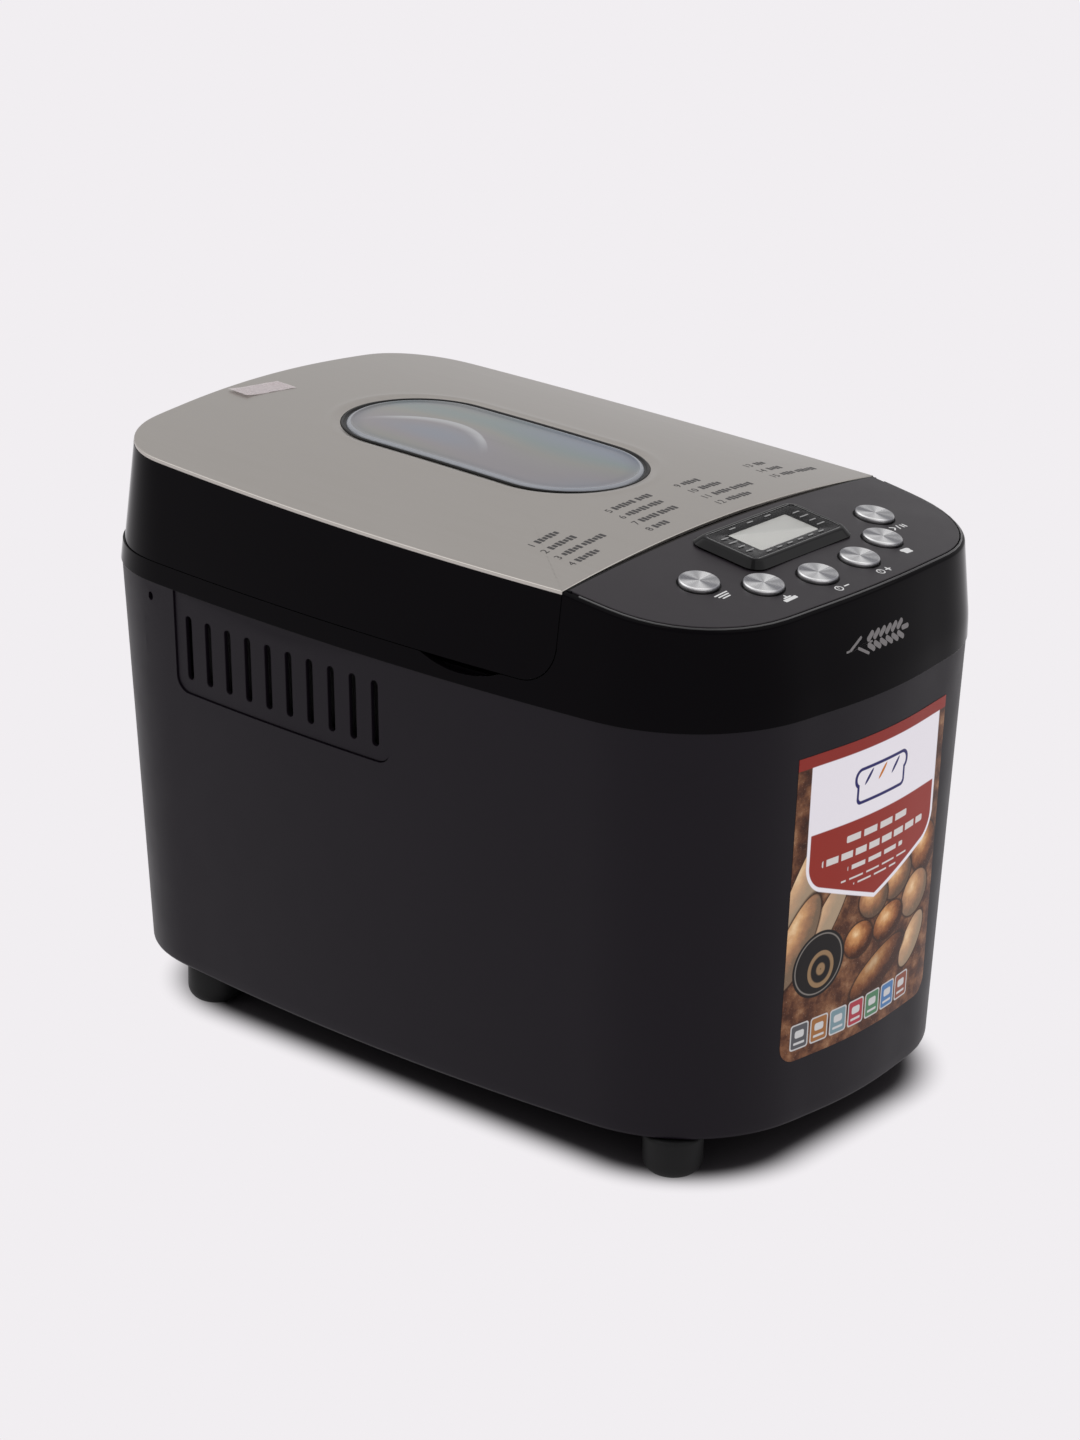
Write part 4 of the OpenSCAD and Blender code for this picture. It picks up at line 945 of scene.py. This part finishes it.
def hinge_parts():
    """Hinge ears of the housing and the lid's knuckles: barrels turned about the pin's line, on
    small blocks with round corners."""
    ears, knuckles = Build(), Build()

    def barrel(shape, x, length, r=3.8, bore=1.55):
        """Bored roller along x with chamfered ends."""
        end = length / 2
        profile = [(-end, bore), (-end, r - 0.5), (0.5 - end, r),
                   (end - 0.5, r), (end, r - 0.5), (end, bore)]
        loops = [np.column_stack([np.full(40, x + dx), circle(radius, 40) + [HINGE_Y, HINGE_Z]])
                 for dx, radius in profile]
        shape.grid(np.array(loops), wrap_u=True, wrap_v=True, flip=True)

    def block(shape, x, w, y1, y2, z1, z2):
        """Foot of an ear or knuckle: y is counted from the pin, z from the table."""
        loop = round_rect(w, (y2 - y1) / 2, 0.6, 4, 2)
        middle = np.array([x, HINGE_Y + (y1 + y2) / 2])
        levels = [(z1, -0.4), (z1 + 0.4, 0), (z2 - 0.4, 0), (z2, -0.4)]
        shape.tube([np.column_stack([middle + loop * (1 + grow / w), np.full(len(loop), z)])
                    for z, grow in levels])

    for x in (-42.0, 42.0):
        for s in (-10.0, 10.0):
            barrel(ears, x + s, 4.0)
            block(ears, x + s, 2.0, -3.6, 3.6, DECK_Z - 2, HINGE_Z - 1.5)
        barrel(knuckles, x, 15.0)
        block(knuckles, x, 7.4, -8.0, -1.0, HINGE_Z - 0.4, HINGE_Z + 2.1)
        block(knuckles, x, 7.4, -8.0, -4.6, HINGE_Z - 0.4, HINGE_Z + 11.5)
    ears.make("hinge_ears", "case", CASE_GLOSS, "case_gloss")
    knuckles.make("hinge_knuckles", "lid", CASE_GLOSS, "case_gloss")


upper_housing()
deck()
hinge_parts()


# ---------------------------------------------------------------- lid
STEEL_T = 1.7
lid_sides = np.concatenate([CORNER_Y - CORNER_R * np.cos(quarter), np.linspace(-86, 137, 44)])
lid_sides[0] = LID_FRONT
lid_wall = Wall(HEIGHTS[2:], LID_PLANS, lid_sides)
lid_cols = np.arange(lid_wall.front, lid_wall.count - lid_wall.front + 1)
lid_edge = lid_wall.meet(lid_top, 0, lid_cols)


def lid_shell():
    """Gloss skirt: the side wall from its lower edge to the steel, and the front wall that turns
    under by a quarter circle; both meet on one corner edge."""
    top = lid_edge[:, 2] - STEEL_T
    y = lid_wall.ring[0, lid_cols, 1]
    low = seam_height(y, CORNER_R, CORNER_Z - CORNER_R)
    low[[0, -1]] = CORNER_Z
    rows = low + np.linspace(0, 1, 12)[:, None] * (top - low)
    side = lid_wall.at(rows, 0, lid_cols)
    right = np.concatenate([side[0, 12:0:-1], side[:, 0]])[:, None]
    front = right * np.stack([np.linspace(-1, 1, 61), np.ones(61), np.ones(61)], -1)
    share = np.concatenate([np.zeros(12), np.linspace(0, 1, 12)])[:, None]
    front[..., 2] += (lid_top(front[..., 0], LID_FRONT) - lid_top(right[..., 0], LID_FRONT)) * share
    Build().grid(side).grid(front).make("lid_shell", "lid", CASE_GLOSS, "case_gloss", weld=0.01, solid=2.6,
                                        bevel=0.8, replaces=["lid_skirt"])


def window_rays(points, w, length):
    """Point of a stadium's edge in the direction of each given point, seen from its middle."""
    d = points - [0, BAKE_Y]
    d = d / np.linalg.norm(d, axis=1, keepdims=True)
    straight = length - w
    side = abs(d[:, 0]) * straight >= abs(d[:, 1]) * w
    along = w / np.maximum(abs(d[:, 0]), 1e-9)
    b = abs(d[:, 1]) * straight
    curve = b + np.sqrt(np.maximum(b ** 2 - straight ** 2 + w ** 2, 0))
    return d * np.where(side, along, curve)[:, None] + [0, BAKE_Y]


def lid_plate():
    """Steel top: loops eased from the lid's edge to the window, with a rolled outer edge and a
    shallow pressed dip round the window, then back along the underside."""
    front_x = np.linspace(-lid_edge[0, 0], lid_edge[0, 0], 62)[1:-1]
    outer = np.concatenate([lid_edge[:, :2], np.column_stack([front_x, np.full(60, LID_FRONT)])])
    step = np.roll(outer, -1, 0) - np.roll(outer, 1, 0)
    out = np.column_stack([step[:, 1], -step[:, 0]]) / np.linalg.norm(step, axis=1)[:, None]
    r, under = 0.5, -0.7
    inset = outer - out * r
    rim = window_rays(outer, WINDOW_W + 9, WINDOW_L + 9)

    def round_window(grow):
        return window_rays(outer, WINDOW_W + grow, WINDOW_L + grow)

    rows = [on_lid(outer, -STEEL_T)]
    for a in np.linspace(0, math.pi / 2, 6):
        rows.append(on_lid(outer + out * r * (math.cos(a) - 1), r * (math.sin(a) - 1)))
    rows += [on_lid(inset + (rim - inset) * t, 0) for t in np.linspace(0.01, 1, 26)]
    for grow in (7.5, 6, 4.8, 3.6, 2.6, 1.8, 1.0, 0.4, 0.1):
        swell = 0.35 * math.exp(-((grow - 5) / 2) ** 2) - 0.9 * math.exp(-(grow / 2) ** 2)
        rows.append(on_lid(round_window(grow), swell))
    for grow, h in ((0.05, -2.2), (0.7, -2.2), (1.2, -1.7), (2.4, -0.9), (9.0, under)):
        rows.append(on_lid(round_window(grow), h))
    rows += [on_lid(inset + (rim - inset) * t, under) for t in np.linspace(0.9, 0, 12)]
    rows.append(on_lid(outer - out * 0.6, -STEEL_T))
    Build().grid(np.array(rows), wrap_u=True, wrap_v=True).make(
        "lid_steel_top", "lid", TOP_STEEL, "top_steel", weld=0.005, sharp=60, replaces=["lid_top_plate"])


def window_loop(w, h):
    """Stadium of half width w round the window, on a lid that is flattened across it."""
    flat = stadium(w, WINDOW_L - WINDOW_W) + [0, BAKE_Y]
    return np.column_stack([flat, lid_top(flat[:, 0] * 0.6, flat[:, 1]) + h])


def window_parts():
    """Black sealing ring and the moulded lens: bevelled rim, shallow step and a low dome."""
    ring = [(41.35, -2.4), (41.3, -1.15), (40.9, -0.75), (40.3, -0.75), (39.9, -1.1), (39.6, -1.6),
            (38.7, -1.8), (38.7, -2.6)]
    Build().grid(np.array([window_loop(w, z) for w, z in ring]), wrap_u=True, wrap_v=True).make(
        "window_seal", "lid", GASKET_BLACK, "gasket_black", replaces=["window_gasket"])
    lens = [(38.6, -3.4), (38.6, -1.7), (38.3, -1.15), (37.4, -0.65), (36.6, -0.5), (36.1, -0.6),
            (35.7, -0.95), (35.2, -1.15), (33, -1.1), (28, -0.95), (22, -0.8), (15, -0.7),
            (8, -0.62), (2, -0.6)]
    shape = Build().grid(np.array([window_loop(w, z) for w, z in lens]), wrap_u=True)
    shape.cap(window_loop(2, -0.6)).cap(window_loop(38.6, -3.4), True)
    shape.make("window_pane", "lid", LENS, "lens_clear", replaces=["window_lens"])


lid_shell()
lid_plate()
window_parts()


# ---------------------------------------------------------------- control panel
def panel_face():
    """Satin panel inside the block's rim, with holes for the display and the six buttons."""
    place = upper.meet(panel_top, -2.5, block_cols)
    rear = BLOCK_REAR - 1.6
    rim = place[place[:, 1] < rear - 1.0, :2]
    reach = np.interp(rear, place[place[:, 0] > 0, 1], place[place[:, 0] > 0, 0])
    back = np.column_stack([np.linspace(reach, -reach, 41), np.full(41, rear)])
    holes = [circle(BUTTON_R + 0.55, 40) + list(p) for p in BUTTONS.values()]
    holes.append(round_rect(DISPLAY_W + 1.7, DISPLAY_L + 1, 4.0) + [0, DISPLAY_Y])
    flat, tris = pane(np.concatenate([rim, back]), holes, 4.5)
    Build().add(on_panel(flat, 0), [tris]).make(
        "control_panel_sheet", "case", PANEL_SATIN, "panel_satin", solid=2.2, bevel=0.45,
        replaces=["control_panel_face"])


def rim_bead():
    """Fine polished bead where the panel meets the block's rim: a low half round, swept along it."""
    profile = ((-1.15, -0.3), (-1.2, 0.05), (-1.45, 0.22), (-1.75, 0.22), (-2.0, 0.05), (-2.05, -0.3))
    rows = np.array([upper.meet(lambda x, y: panel_top(x, y) - 0.4, grow, block_cols) + [0, 0, lift]
                     for grow, lift in profile])[:, ::2]
    rows = rows[:, rows[0, :, 1] < BLOCK_REAR - 2.5]
    shape = Build().grid(rows, wrap_v=True).cap(rows[:, 0]).cap(rows[:, -1], True)
    shape.make("panel_rim_bead", "case", RIM_GLOSS, "case_gloss", sharp=60)


def vent_linings():
    """Painted shade behind each grille: a thin dark patch that follows the wall 8 mm inside it."""
    y, z = np.meshgrid(np.linspace(VENT_Y0 + 2, VENT_Y1 - 2, 15), np.linspace(VENT_Z0 + 2, BELT_Z - 6, 7))
    shape = Build()
    for side in (-1, 1):
        for grow, flip in ((-8.0, side < 0), (-8.6, side > 0)):
            shape.grid(np.stack([side * lower.side_x(y, z, grow), y, z], -1), flip=flip)
    shape.make("vent_linings", "case", WELL_BLACK, "base_plastic")


def display():
    """Raised display block: loops from a wide foot up sloped sides to a flat top, then in and down
    to the display's own face; a clear cover closes it."""
    m = panel_frame(0, DISPLAY_Y)

    def loops(rows):
        flat = [(round_rect(w, l, r), h) for w, l, r, h in rows]
        return [placed(np.column_stack([loop, np.full(len(loop), h)]), m) for loop, h in flat]

    def round_block(rows):
        return [(DISPLAY_W + grow, DISPLAY_L + grow, r, h) for grow, r, h in rows]

    block = round_block([(4.2, 7.6, 0.3), (4.2, 7.6, 0.75), (3.7, 7.2, 1.1), (1.4, 5.8, 3.4),
                         (0.7, 5.3, 3.85), (0.0, 5.0, DISPLAY_H), (-0.8, 4.4, DISPLAY_H),
                         (-1.2, 4.0, 3.8), (-1.8, 3.6, 3.75)])
    block += [(22.6, 10.4, 1.4, 3.75), (22.3, 10.1, 1.2, 3.55), (22.3, 10.1, 1.2, 2.2)]
    Build().grid(np.array(loops(block)), wrap_u=True).make(
        "display_block", "case", DISPLAY_BLACK, "display_black", sharp=50, replaces=["display_bezel"])
    face = [(22.2, 10.0, 1.2, 2.4), (22.2, 10.0, 1.2, 3.2), (22.0, 9.8, 1.1, 3.3)]
    Build().tube(loops(face)).make("display_screen", "case", LCD, "lcd_grey", replaces=["lcd_module"])
    cover = round_block([(-1.5, 3.8, 3.80), (-1.5, 3.8, 3.92), (-1.8, 3.6, 3.98)])
    Build().tube(loops(cover)).make("display_cover", "case", DISPLAY_CLEAR, "display_clear",
                                    replaces=["display_window"])


def turned(profile, n, matrix):
    """A profile of (radius, height) pairs turned about the z axis in n steps, and its map, which
    counts the radius in centimetres and the turn from 0 to 1."""
    a = np.arange(n) / n * 2 * math.pi
    pts = np.array([[(r * math.cos(q), r * math.sin(q), h) for q in a] for r, h in profile])
    uv = np.array([[(r * 0.1, q / (2 * math.pi)) for q in a] for r, h in profile])
    return placed(pts.reshape(-1, 3), matrix).reshape(pts.shape), uv


def buttons():
    """Spun caps with a turned-down, chamfered edge and a shallow dished face; the stem stays below."""
    r = BUTTON_R
    profile = [(2.2, -9.0), (2.2, -1.3), (r - 0.4, -1.3), (r, -0.9), (r, 2.0), (r - 0.12, 2.3),
               (r - 0.45, 2.62), (r - 0.62, 2.7)]
    for t in np.linspace(0, 1, 15):
        profile.append((r - 0.75 - t * (r - 0.8), 2.72 - 0.22 * math.sin(t * math.pi / 2)))
    for name, (x, y) in BUTTONS.items():
        loops, uv = turned(profile, 64, panel_frame(x, y))
        Build().tube(loops, uv=uv).make(f"button_{name}_cap", f"key_{name}", BUTTON_METAL, "button_metal",
                                        sharp=50, replaces=[f"button_{name}"])


def button_wells():
    """Dark sleeve round each button, a little below the panel."""
    shape = Build()
    outer, inner, low, high = BUTTON_R + 0.5, BUTTON_R + 0.25, -2.0, 0.1
    for x, y in BUTTONS.values():
        loops, _ = turned([(outer, low), (outer, high), (inner, high), (inner, low)], 40, panel_frame(x, y))
        shape.grid(loops, wrap_u=True, wrap_v=True, flip=True)
    shape.make("button_wells", "case", WELL_BLACK, "panel_satin")


# ---------------------------------------------------------------- printed marks
def stroke(cx, cy, w, h, r=None, turn=0.0):
    """Small rounded bar in a flat plane: middle, half sizes, corner radius and turn."""
    r = min(w, h) * 0.98 if r is None else r
    c, s = math.cos(turn), math.sin(turn)
    loop = round_rect(w, h, min(r, min(w, h) * 0.99), 4, 2)
    return loop @ np.array([[c, s], [-s, c]]) + [cx, cy]


def prints(name, loops, place, body, material, slot, thick=0.05):
    """Closed thin plates over flat loops, carried onto a surface by place(loop, height)."""
    shape = Build()
    for loop in loops:
        shape.tube([place(loop, -0.05), place(loop, thick)])
    shape.make(name, body, material, slot, weld=0.0)


def key_marks():
    """Plain signs in front of the buttons: lines, a weight, less, more, a loaf, go and stop."""
    marks, ahead = [], 14.2

    def at(key, dx, dy, w, h, r=None, turn=0.0):
        x, y = BUTTONS[key]
        marks.append(stroke(x + dx, y - ahead + dy, w, h, r, turn))

    for k in range(3):
        at("menu", 0, 1.7 - 1.7 * k, 4.6 - 0.9 * k, 0.42)
    at("weight", 0, -1.3, 4.4, 1.1, 0.5)
    at("weight", 0, 0.6, 2.6, 0.5)
    at("weight", 0, 1.9, 0.5, 1.0)
    for key in ("time_minus", "time_plus"):
        for k in range(8):
            a = k * math.pi / 4
            at(key, -2.6 + 1.9 * math.cos(a), 1.9 * math.sin(a), 0.8, 0.3, None, a + math.pi / 2)
        at(key, -2.6, 0.5, 0.28, 0.75)
        at(key, 3.0, 0, 1.9, 0.42)
    at("time_plus", 3.0, 0, 0.42, 1.9)
    at("crust", -0.2, 0.9, 3.3, 1.2, 1.1)
    at("crust", -0.2, -1.0, 2.7, 1.2, 0.4)
    at("start", -4.0, 0.9, 0.4, 1.7, None, 0.95)
    at("start", -4.0, -0.9, 0.4, 1.7, None, -0.95)
    at("start", -0.2, 0, 0.4, 2.2, None, -0.35)
    for dx in (2.9, 4.9):
        at("start", dx, 0, 0.5, 1.7)
    prints("key_marks", marks, on_panel, "case", INK_WHITE, "panel_satin")


def display_marks():
    """Tiny plain dashes round the display, and a painted highlight: a pale hairline frame round the cover's
    edge.
    """
    m = panel_frame(0, DISPLAY_Y)
    marks = [stroke(x, 12.8, 2.3, 0.42) for x in (-15, -1.5, 12)]
    marks += [stroke(x, -12.6, 1.9, 0.42) for x in np.linspace(-20, 20, 6)]
    dashes = ((7.6, 2.6), (2.8, 3.2), (-2.2, 2.4), (-7.0, 2.9))
    for side in (-1, 1):
        marks += [stroke(side * 27.2, y, w, 0.4) for y, w in dashes]
        # painted highlight: pale hairlines along the cover's edges, standing in for light caught there
        marks += [stroke(0, side * 15.2, 31.5, 0.11), stroke(side * 33.5, 0, 0.11, 13.2)]

    def place(loop, h):
        return placed(np.column_stack([loop, np.full(len(loop), DISPLAY_H + h)]), m)

    prints("display_marks", marks, place, "case", FAINT_INK_AND_PAINTED_HIGHLIGHT, "display_black", 0.04)


def numeral(text, size):
    """Flat mesh of a plain numeral, as Blender's own type draws it: points and faces."""
    curve = bpy.data.curves.new("number", "FONT")
    curve.body, curve.size, curve.resolution_u = text, size, 4
    thing = link("number", curve)
    bpy.context.view_layer.update()
    drawn = thing.evaluated_get(bpy.context.evaluated_depsgraph_get())
    mesh = bpy.data.meshes.new_from_object(drawn)
    points = np.array([v.co[:2] for v in mesh.vertices])
    faces = [np.array([list(p.vertices)]) for p in mesh.polygons]
    bpy.data.objects.remove(thing)
    bpy.data.meshes.remove(mesh)
    return points, faces


def programme_list():
    """Programme numbers 1 to 15 on the steel, each followed by rows of bars in place of a name."""
    # where each column starts, and the lengths of the words on each of its rows
    columns = [((-91.7, -69.0), [(13,), (16,), (11, 14), (13,)]),
               ((-38.3, -71.0), [(14, 9), (13, 9), (11, 11), (10,)]),
               ((12.8, -71.5), [(12,), (14,), (11, 13), (15,)]),
               ((68.3, -70.2), [(8,), (9,), (9, 13)])]
    bars, digits, number = [], Build(), 1
    for (x0, y0), rows in columns:
        for row, words in enumerate(rows):
            x, y = x0 - 1.3 * row, y0 - 9.05 * row
            points, faces = numeral(str(number), 6.0)
            digits.add(on_lid(points + [x, y], 0.05), faces)
            x += 3.7 * len(str(number)) + 1.2
            for length in words:
                for k in range(round(length / 2.3)):
                    tall = 2.0 if (k + number) % 3 else 1.5
                    bars.append(stroke(x + 1.1 + 2.6 * k, y + 2.1, 0.95, tall, 0.4))
                x += length * 1.13 + 1.6
            number += 1
    digits.make("programme_numbers", "lid", INK_GREY, "top_steel", weld=0.0)
    prints("programme_bars", bars, on_lid, "lid", INK_GREY, "top_steel", 0.04)


def front_mark():
    """Plain wheat ear on the gloss block: a stem with two leaves and six pairs of grains, lying
    along the wall."""
    loops = [stroke(-15.0, -0.6, 9.5, 0.5, None, 0.06)]
    loops += [stroke(-6.8 + 4.6 * k, s * 2.5, 3.1, 1.25, 1.2, s * 0.62) for k in range(6) for s in (-1, 1)]
    loops += [stroke(20.4, 0.2, 3.0, 1.15, 1.1), stroke(-17.5, 1.3, 5.0, 0.7, 0.65, 0.5),
              stroke(-12.5, -3.0, 4.4, 0.7, 0.65, -0.5)]

    def place(loop, h):
        x, z = (loop + [-3.5, 252.0]).T
        return np.column_stack([x, upper.front_y(x, z, h), z])

    prints("front_mark", loops, place, "case", MARK_SILVER, "case_gloss")


def front_label():
    """Sheet lying on the lower housing's front: rows and columns that narrow round its corners."""
    r, across = 9.0, np.linspace(-1, 1, 41)
    corner = LABEL_Z0 + r - r * np.cos(np.linspace(0, math.pi / 2, 9))
    z = np.concatenate([corner, np.linspace(LABEL_Z0 + r, LABEL_Z1, 33)[1:]])[:, None]
    over = np.maximum(LABEL_Z0 + r - z, 0)
    x = (LABEL_W - r + np.sqrt(np.maximum(r * r - over ** 2, 0))) * across
    z = z + 0 * x
    uv = np.stack([x / (2 * LABEL_W) + 0.5, (z - LABEL_Z0) / (LABEL_Z1 - LABEL_Z0)], -1)
    top, back = (np.stack([x, lower.front_y(x, z, h), z], -1) for h in (0.18, 0.02))
    Build().leaf(top, back, uv).make(
        "front_label_sheet", "case", LABEL, "label_print", replaces=["front_label"])


def film_tab():
    """Corner of clear film that lifts off the steel near its rear edge."""
    u, v = np.meshgrid(np.linspace(-1, 1, 21), np.linspace(-1, 1, 13))
    x = -16 + 14 * u + 1.0 * v
    y = 172.5 + 7.5 * v - 4.0 * u
    h = 0.18 + 0.9 * np.clip(-u, 0, 1) ** 3 + 0.12 * np.sin(u * 5 + v * 2) ** 2
    top = np.stack([x, y, lid_top(x, y) + h], -1)
    Build().leaf(top, top - [0, 0, 0.08]).make(
        "film_corner", "lid", FILM, "film_clear", replaces=["film_tab"])


def feet():
    """Moulded rubber feet: a flat tread with a raised ring, a round shoulder and a neck."""
    a = np.linspace(-math.pi / 2, 0, 9)
    shoulder = [(6.8 + 7.5 * math.cos(t), 7.5 + 7.5 * math.sin(t)) for t in a]
    profile = [(2.3, 21.4), (2.3, 6.0), (4.6, 6.0), (4.6, 0.3), (4.9, 0.0)] + shoulder
    profile += [(14.3, 18.6), (14.1, 19.6), (13.4, 20.4), (12.4, 20.75), (9.0, 20.8), (9.0, 21.4)]
    for name, (x, y) in FEET.items():
        loops, uv = turned(profile, 56, np.array(Matrix.Translation((x, y, 0))))
        Build().grid(loops, wrap_u=True, wrap_v=True, uv=uv).make(
            f"foot_{name}_rubber", "case", FOOT_RUBBER, "foot_rubber", sharp=50, replaces=[f"foot_{name}"])


panel_face()
rim_bead()
vent_linings()
display()
buttons()
button_wells()
key_marks()
display_marks()
programme_list()
front_mark()
front_label()
film_tab()
feet()


# ---------------------------------------------------------------- finishes of the parts inside
def dress(material, *nodes):
    """Gives nodes that keep their own shape a finish."""
    for name in nodes:
        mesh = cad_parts[name].data
        mesh.materials.clear()
        mesh.materials.append(material)


dress(BASE_PLASTIC, "base_plate", "cord_gland")
dress(FOOT_RUBBER, "motor_mounts")
dress(metal("screw_steel", (0.55, 0.55, 0.57), 0.28), "case_screws", "lid_screws", "hinge_pins")
dress(metal("liner_aluminium", (0.62, 0.62, 0.63), 0.33, (0.1, 1, 1), 600.0), "lid_liner")
dress(clear("oven_glass", (0.55, 0.60, 0.60), 0.3, 0.04), "lid_inner_glass")
dress(metal("chamber_steel", (0.50, 0.48, 0.46), 0.36, (1, 1, 0.1), 500.0),
      "bake_chamber", "element_brackets", "pan_clips", "temperature_sensor")
dress(metal("element_steel", (0.16, 0.15, 0.14), 0.45, grain=0.3, spread=0.3), "heating_element")
dress(moulded("pan_coating", (0.045, 0.045, 0.048), 0.34, 0.25, 1600.0, Metallic=0.6),
      "bread_pan", "kneading_paddle_front", "kneading_paddle_rear")
dress(metal("pan_aluminium", (0.55, 0.55, 0.57), 0.42, grain=0.3, size=700.0),
      "pan_base", "motor_frame", "run_capacitor")
dress(metal("handle_steel", (0.45, 0.45, 0.47), 0.3), "pan_handle")
dress(metal("bush_bronze", (0.42, 0.27, 0.12), 0.4, grain=0.3), "shaft_bushings", "drive_bearings")
dress(metal("shaft_steel", (0.58, 0.58, 0.60), 0.2, (1, 1, 0.05), 1200.0),
      "paddle_shaft_front", "paddle_shaft_rear", "drive_shaft_front", "drive_shaft_rear")
dress(moulded("pulley_plastic", (0.55, 0.52, 0.45), 0.5, 0.2),
      "drive_pulley_front", "drive_pulley_rear", "motor_pulley")
dress(moulded("belt_rubber", (0.012, 0.012, 0.012), 0.7, 0.4, 700.0), "link_belt", "motor_belt")
dress(metal("motor_steel", (0.25, 0.25, 0.27), 0.5, (1, 1, 8), 500.0, 0.3), "motor_rotor", "motor_stator")
dress(metal("coil_copper", (0.45, 0.16, 0.06), 0.35, (1, 1, 6), 600.0, 0.4), "motor_coils")
dress(moulded("board_green", (0.02, 0.11, 0.04), 0.4, 0.15, 800.0), "control_board", "power_board")


# ---------------------------------------------------------------- studio
def floor_finish():
    """Pale floor that gives off its own light, so that it is as even as the surroundings, but for
    a painted shadow under the case: the distance outside a rounded box in metres, eased twice."""
    f = Finish("floor_pale", (0.8, 0.78, 0.8), 0.9, Specular_IOR_Level=0.0, Emission_Strength=1.0)
    x, y = f.object_xy()
    x, y = (abs(x) - 0.043).high(0.0), (abs(y + 0.009) - 0.120).high(0.0)
    reach = (x * x + y * y).root() - 0.070
    # painted shadow: towards the case the floor's own light fades out and its base colour darkens
    away = reach.ease(-0.015, 0.011)
    near = f.mix(reach.ease(-0.018, 0.012), (0.06, 0.055, 0.06), (0.46, 0.44, 0.46))
    f.set("Base Color", f.mix(away, near, (0.0, 0.0, 0.0)))
    f.vary("Emission Color", (0.0, 0.0, 0.0), (0.880, 0.855, 0.880), away)
    return f.material


def studio():
    """Pale floor, even pale surroundings, and two broad soft suns."""
    floor = bpy.data.meshes.new("floor")
    rim = np.column_stack([circle(14.0, 64), np.zeros(64)])
    floor.from_pydata(rim.tolist(), [], [list(range(len(rim)))])
    floor.materials.append(floor_finish())
    link("floor", floor)
    world = bpy.data.worlds.new("studio")
    world.use_nodes = True
    world.node_tree.nodes["Background"].inputs["Color"].default_value = (0.985, 0.975, 0.985, 1)
    world.node_tree.nodes["Background"].inputs["Strength"].default_value = 0.62
    bpy.context.scene.world = world
    suns = (("sun_key", (-28, -22, 0), 0.85, 70), ("sun_fill", (32, 30, 0), 0.45, 60))
    for name, turn, power, spread in suns:
        lamp = bpy.data.lights.new(name, "SUN")
        lamp.energy, lamp.angle = power, math.radians(spread)
        link(name, lamp).rotation_euler = [math.radians(q) for q in turn]


def camera():
    """Three-quarter view from above the control end's left corner."""
    lens = bpy.data.cameras.new("view")
    lens.lens, lens.sensor_width, lens.shift_y, lens.clip_end = 99.85, 36.0, 0.0040, 60.0
    eye = link("view", lens)
    eye.location = (-1.4205, -1.1667, 0.8610)
    eye.rotation_euler = [math.radians(q) for q in (68.9815, -1.3118, -50.1130)]
    bpy.context.scene.camera = eye


studio()
camera()
bpy.context.scene.view_settings.view_transform = "Standard"
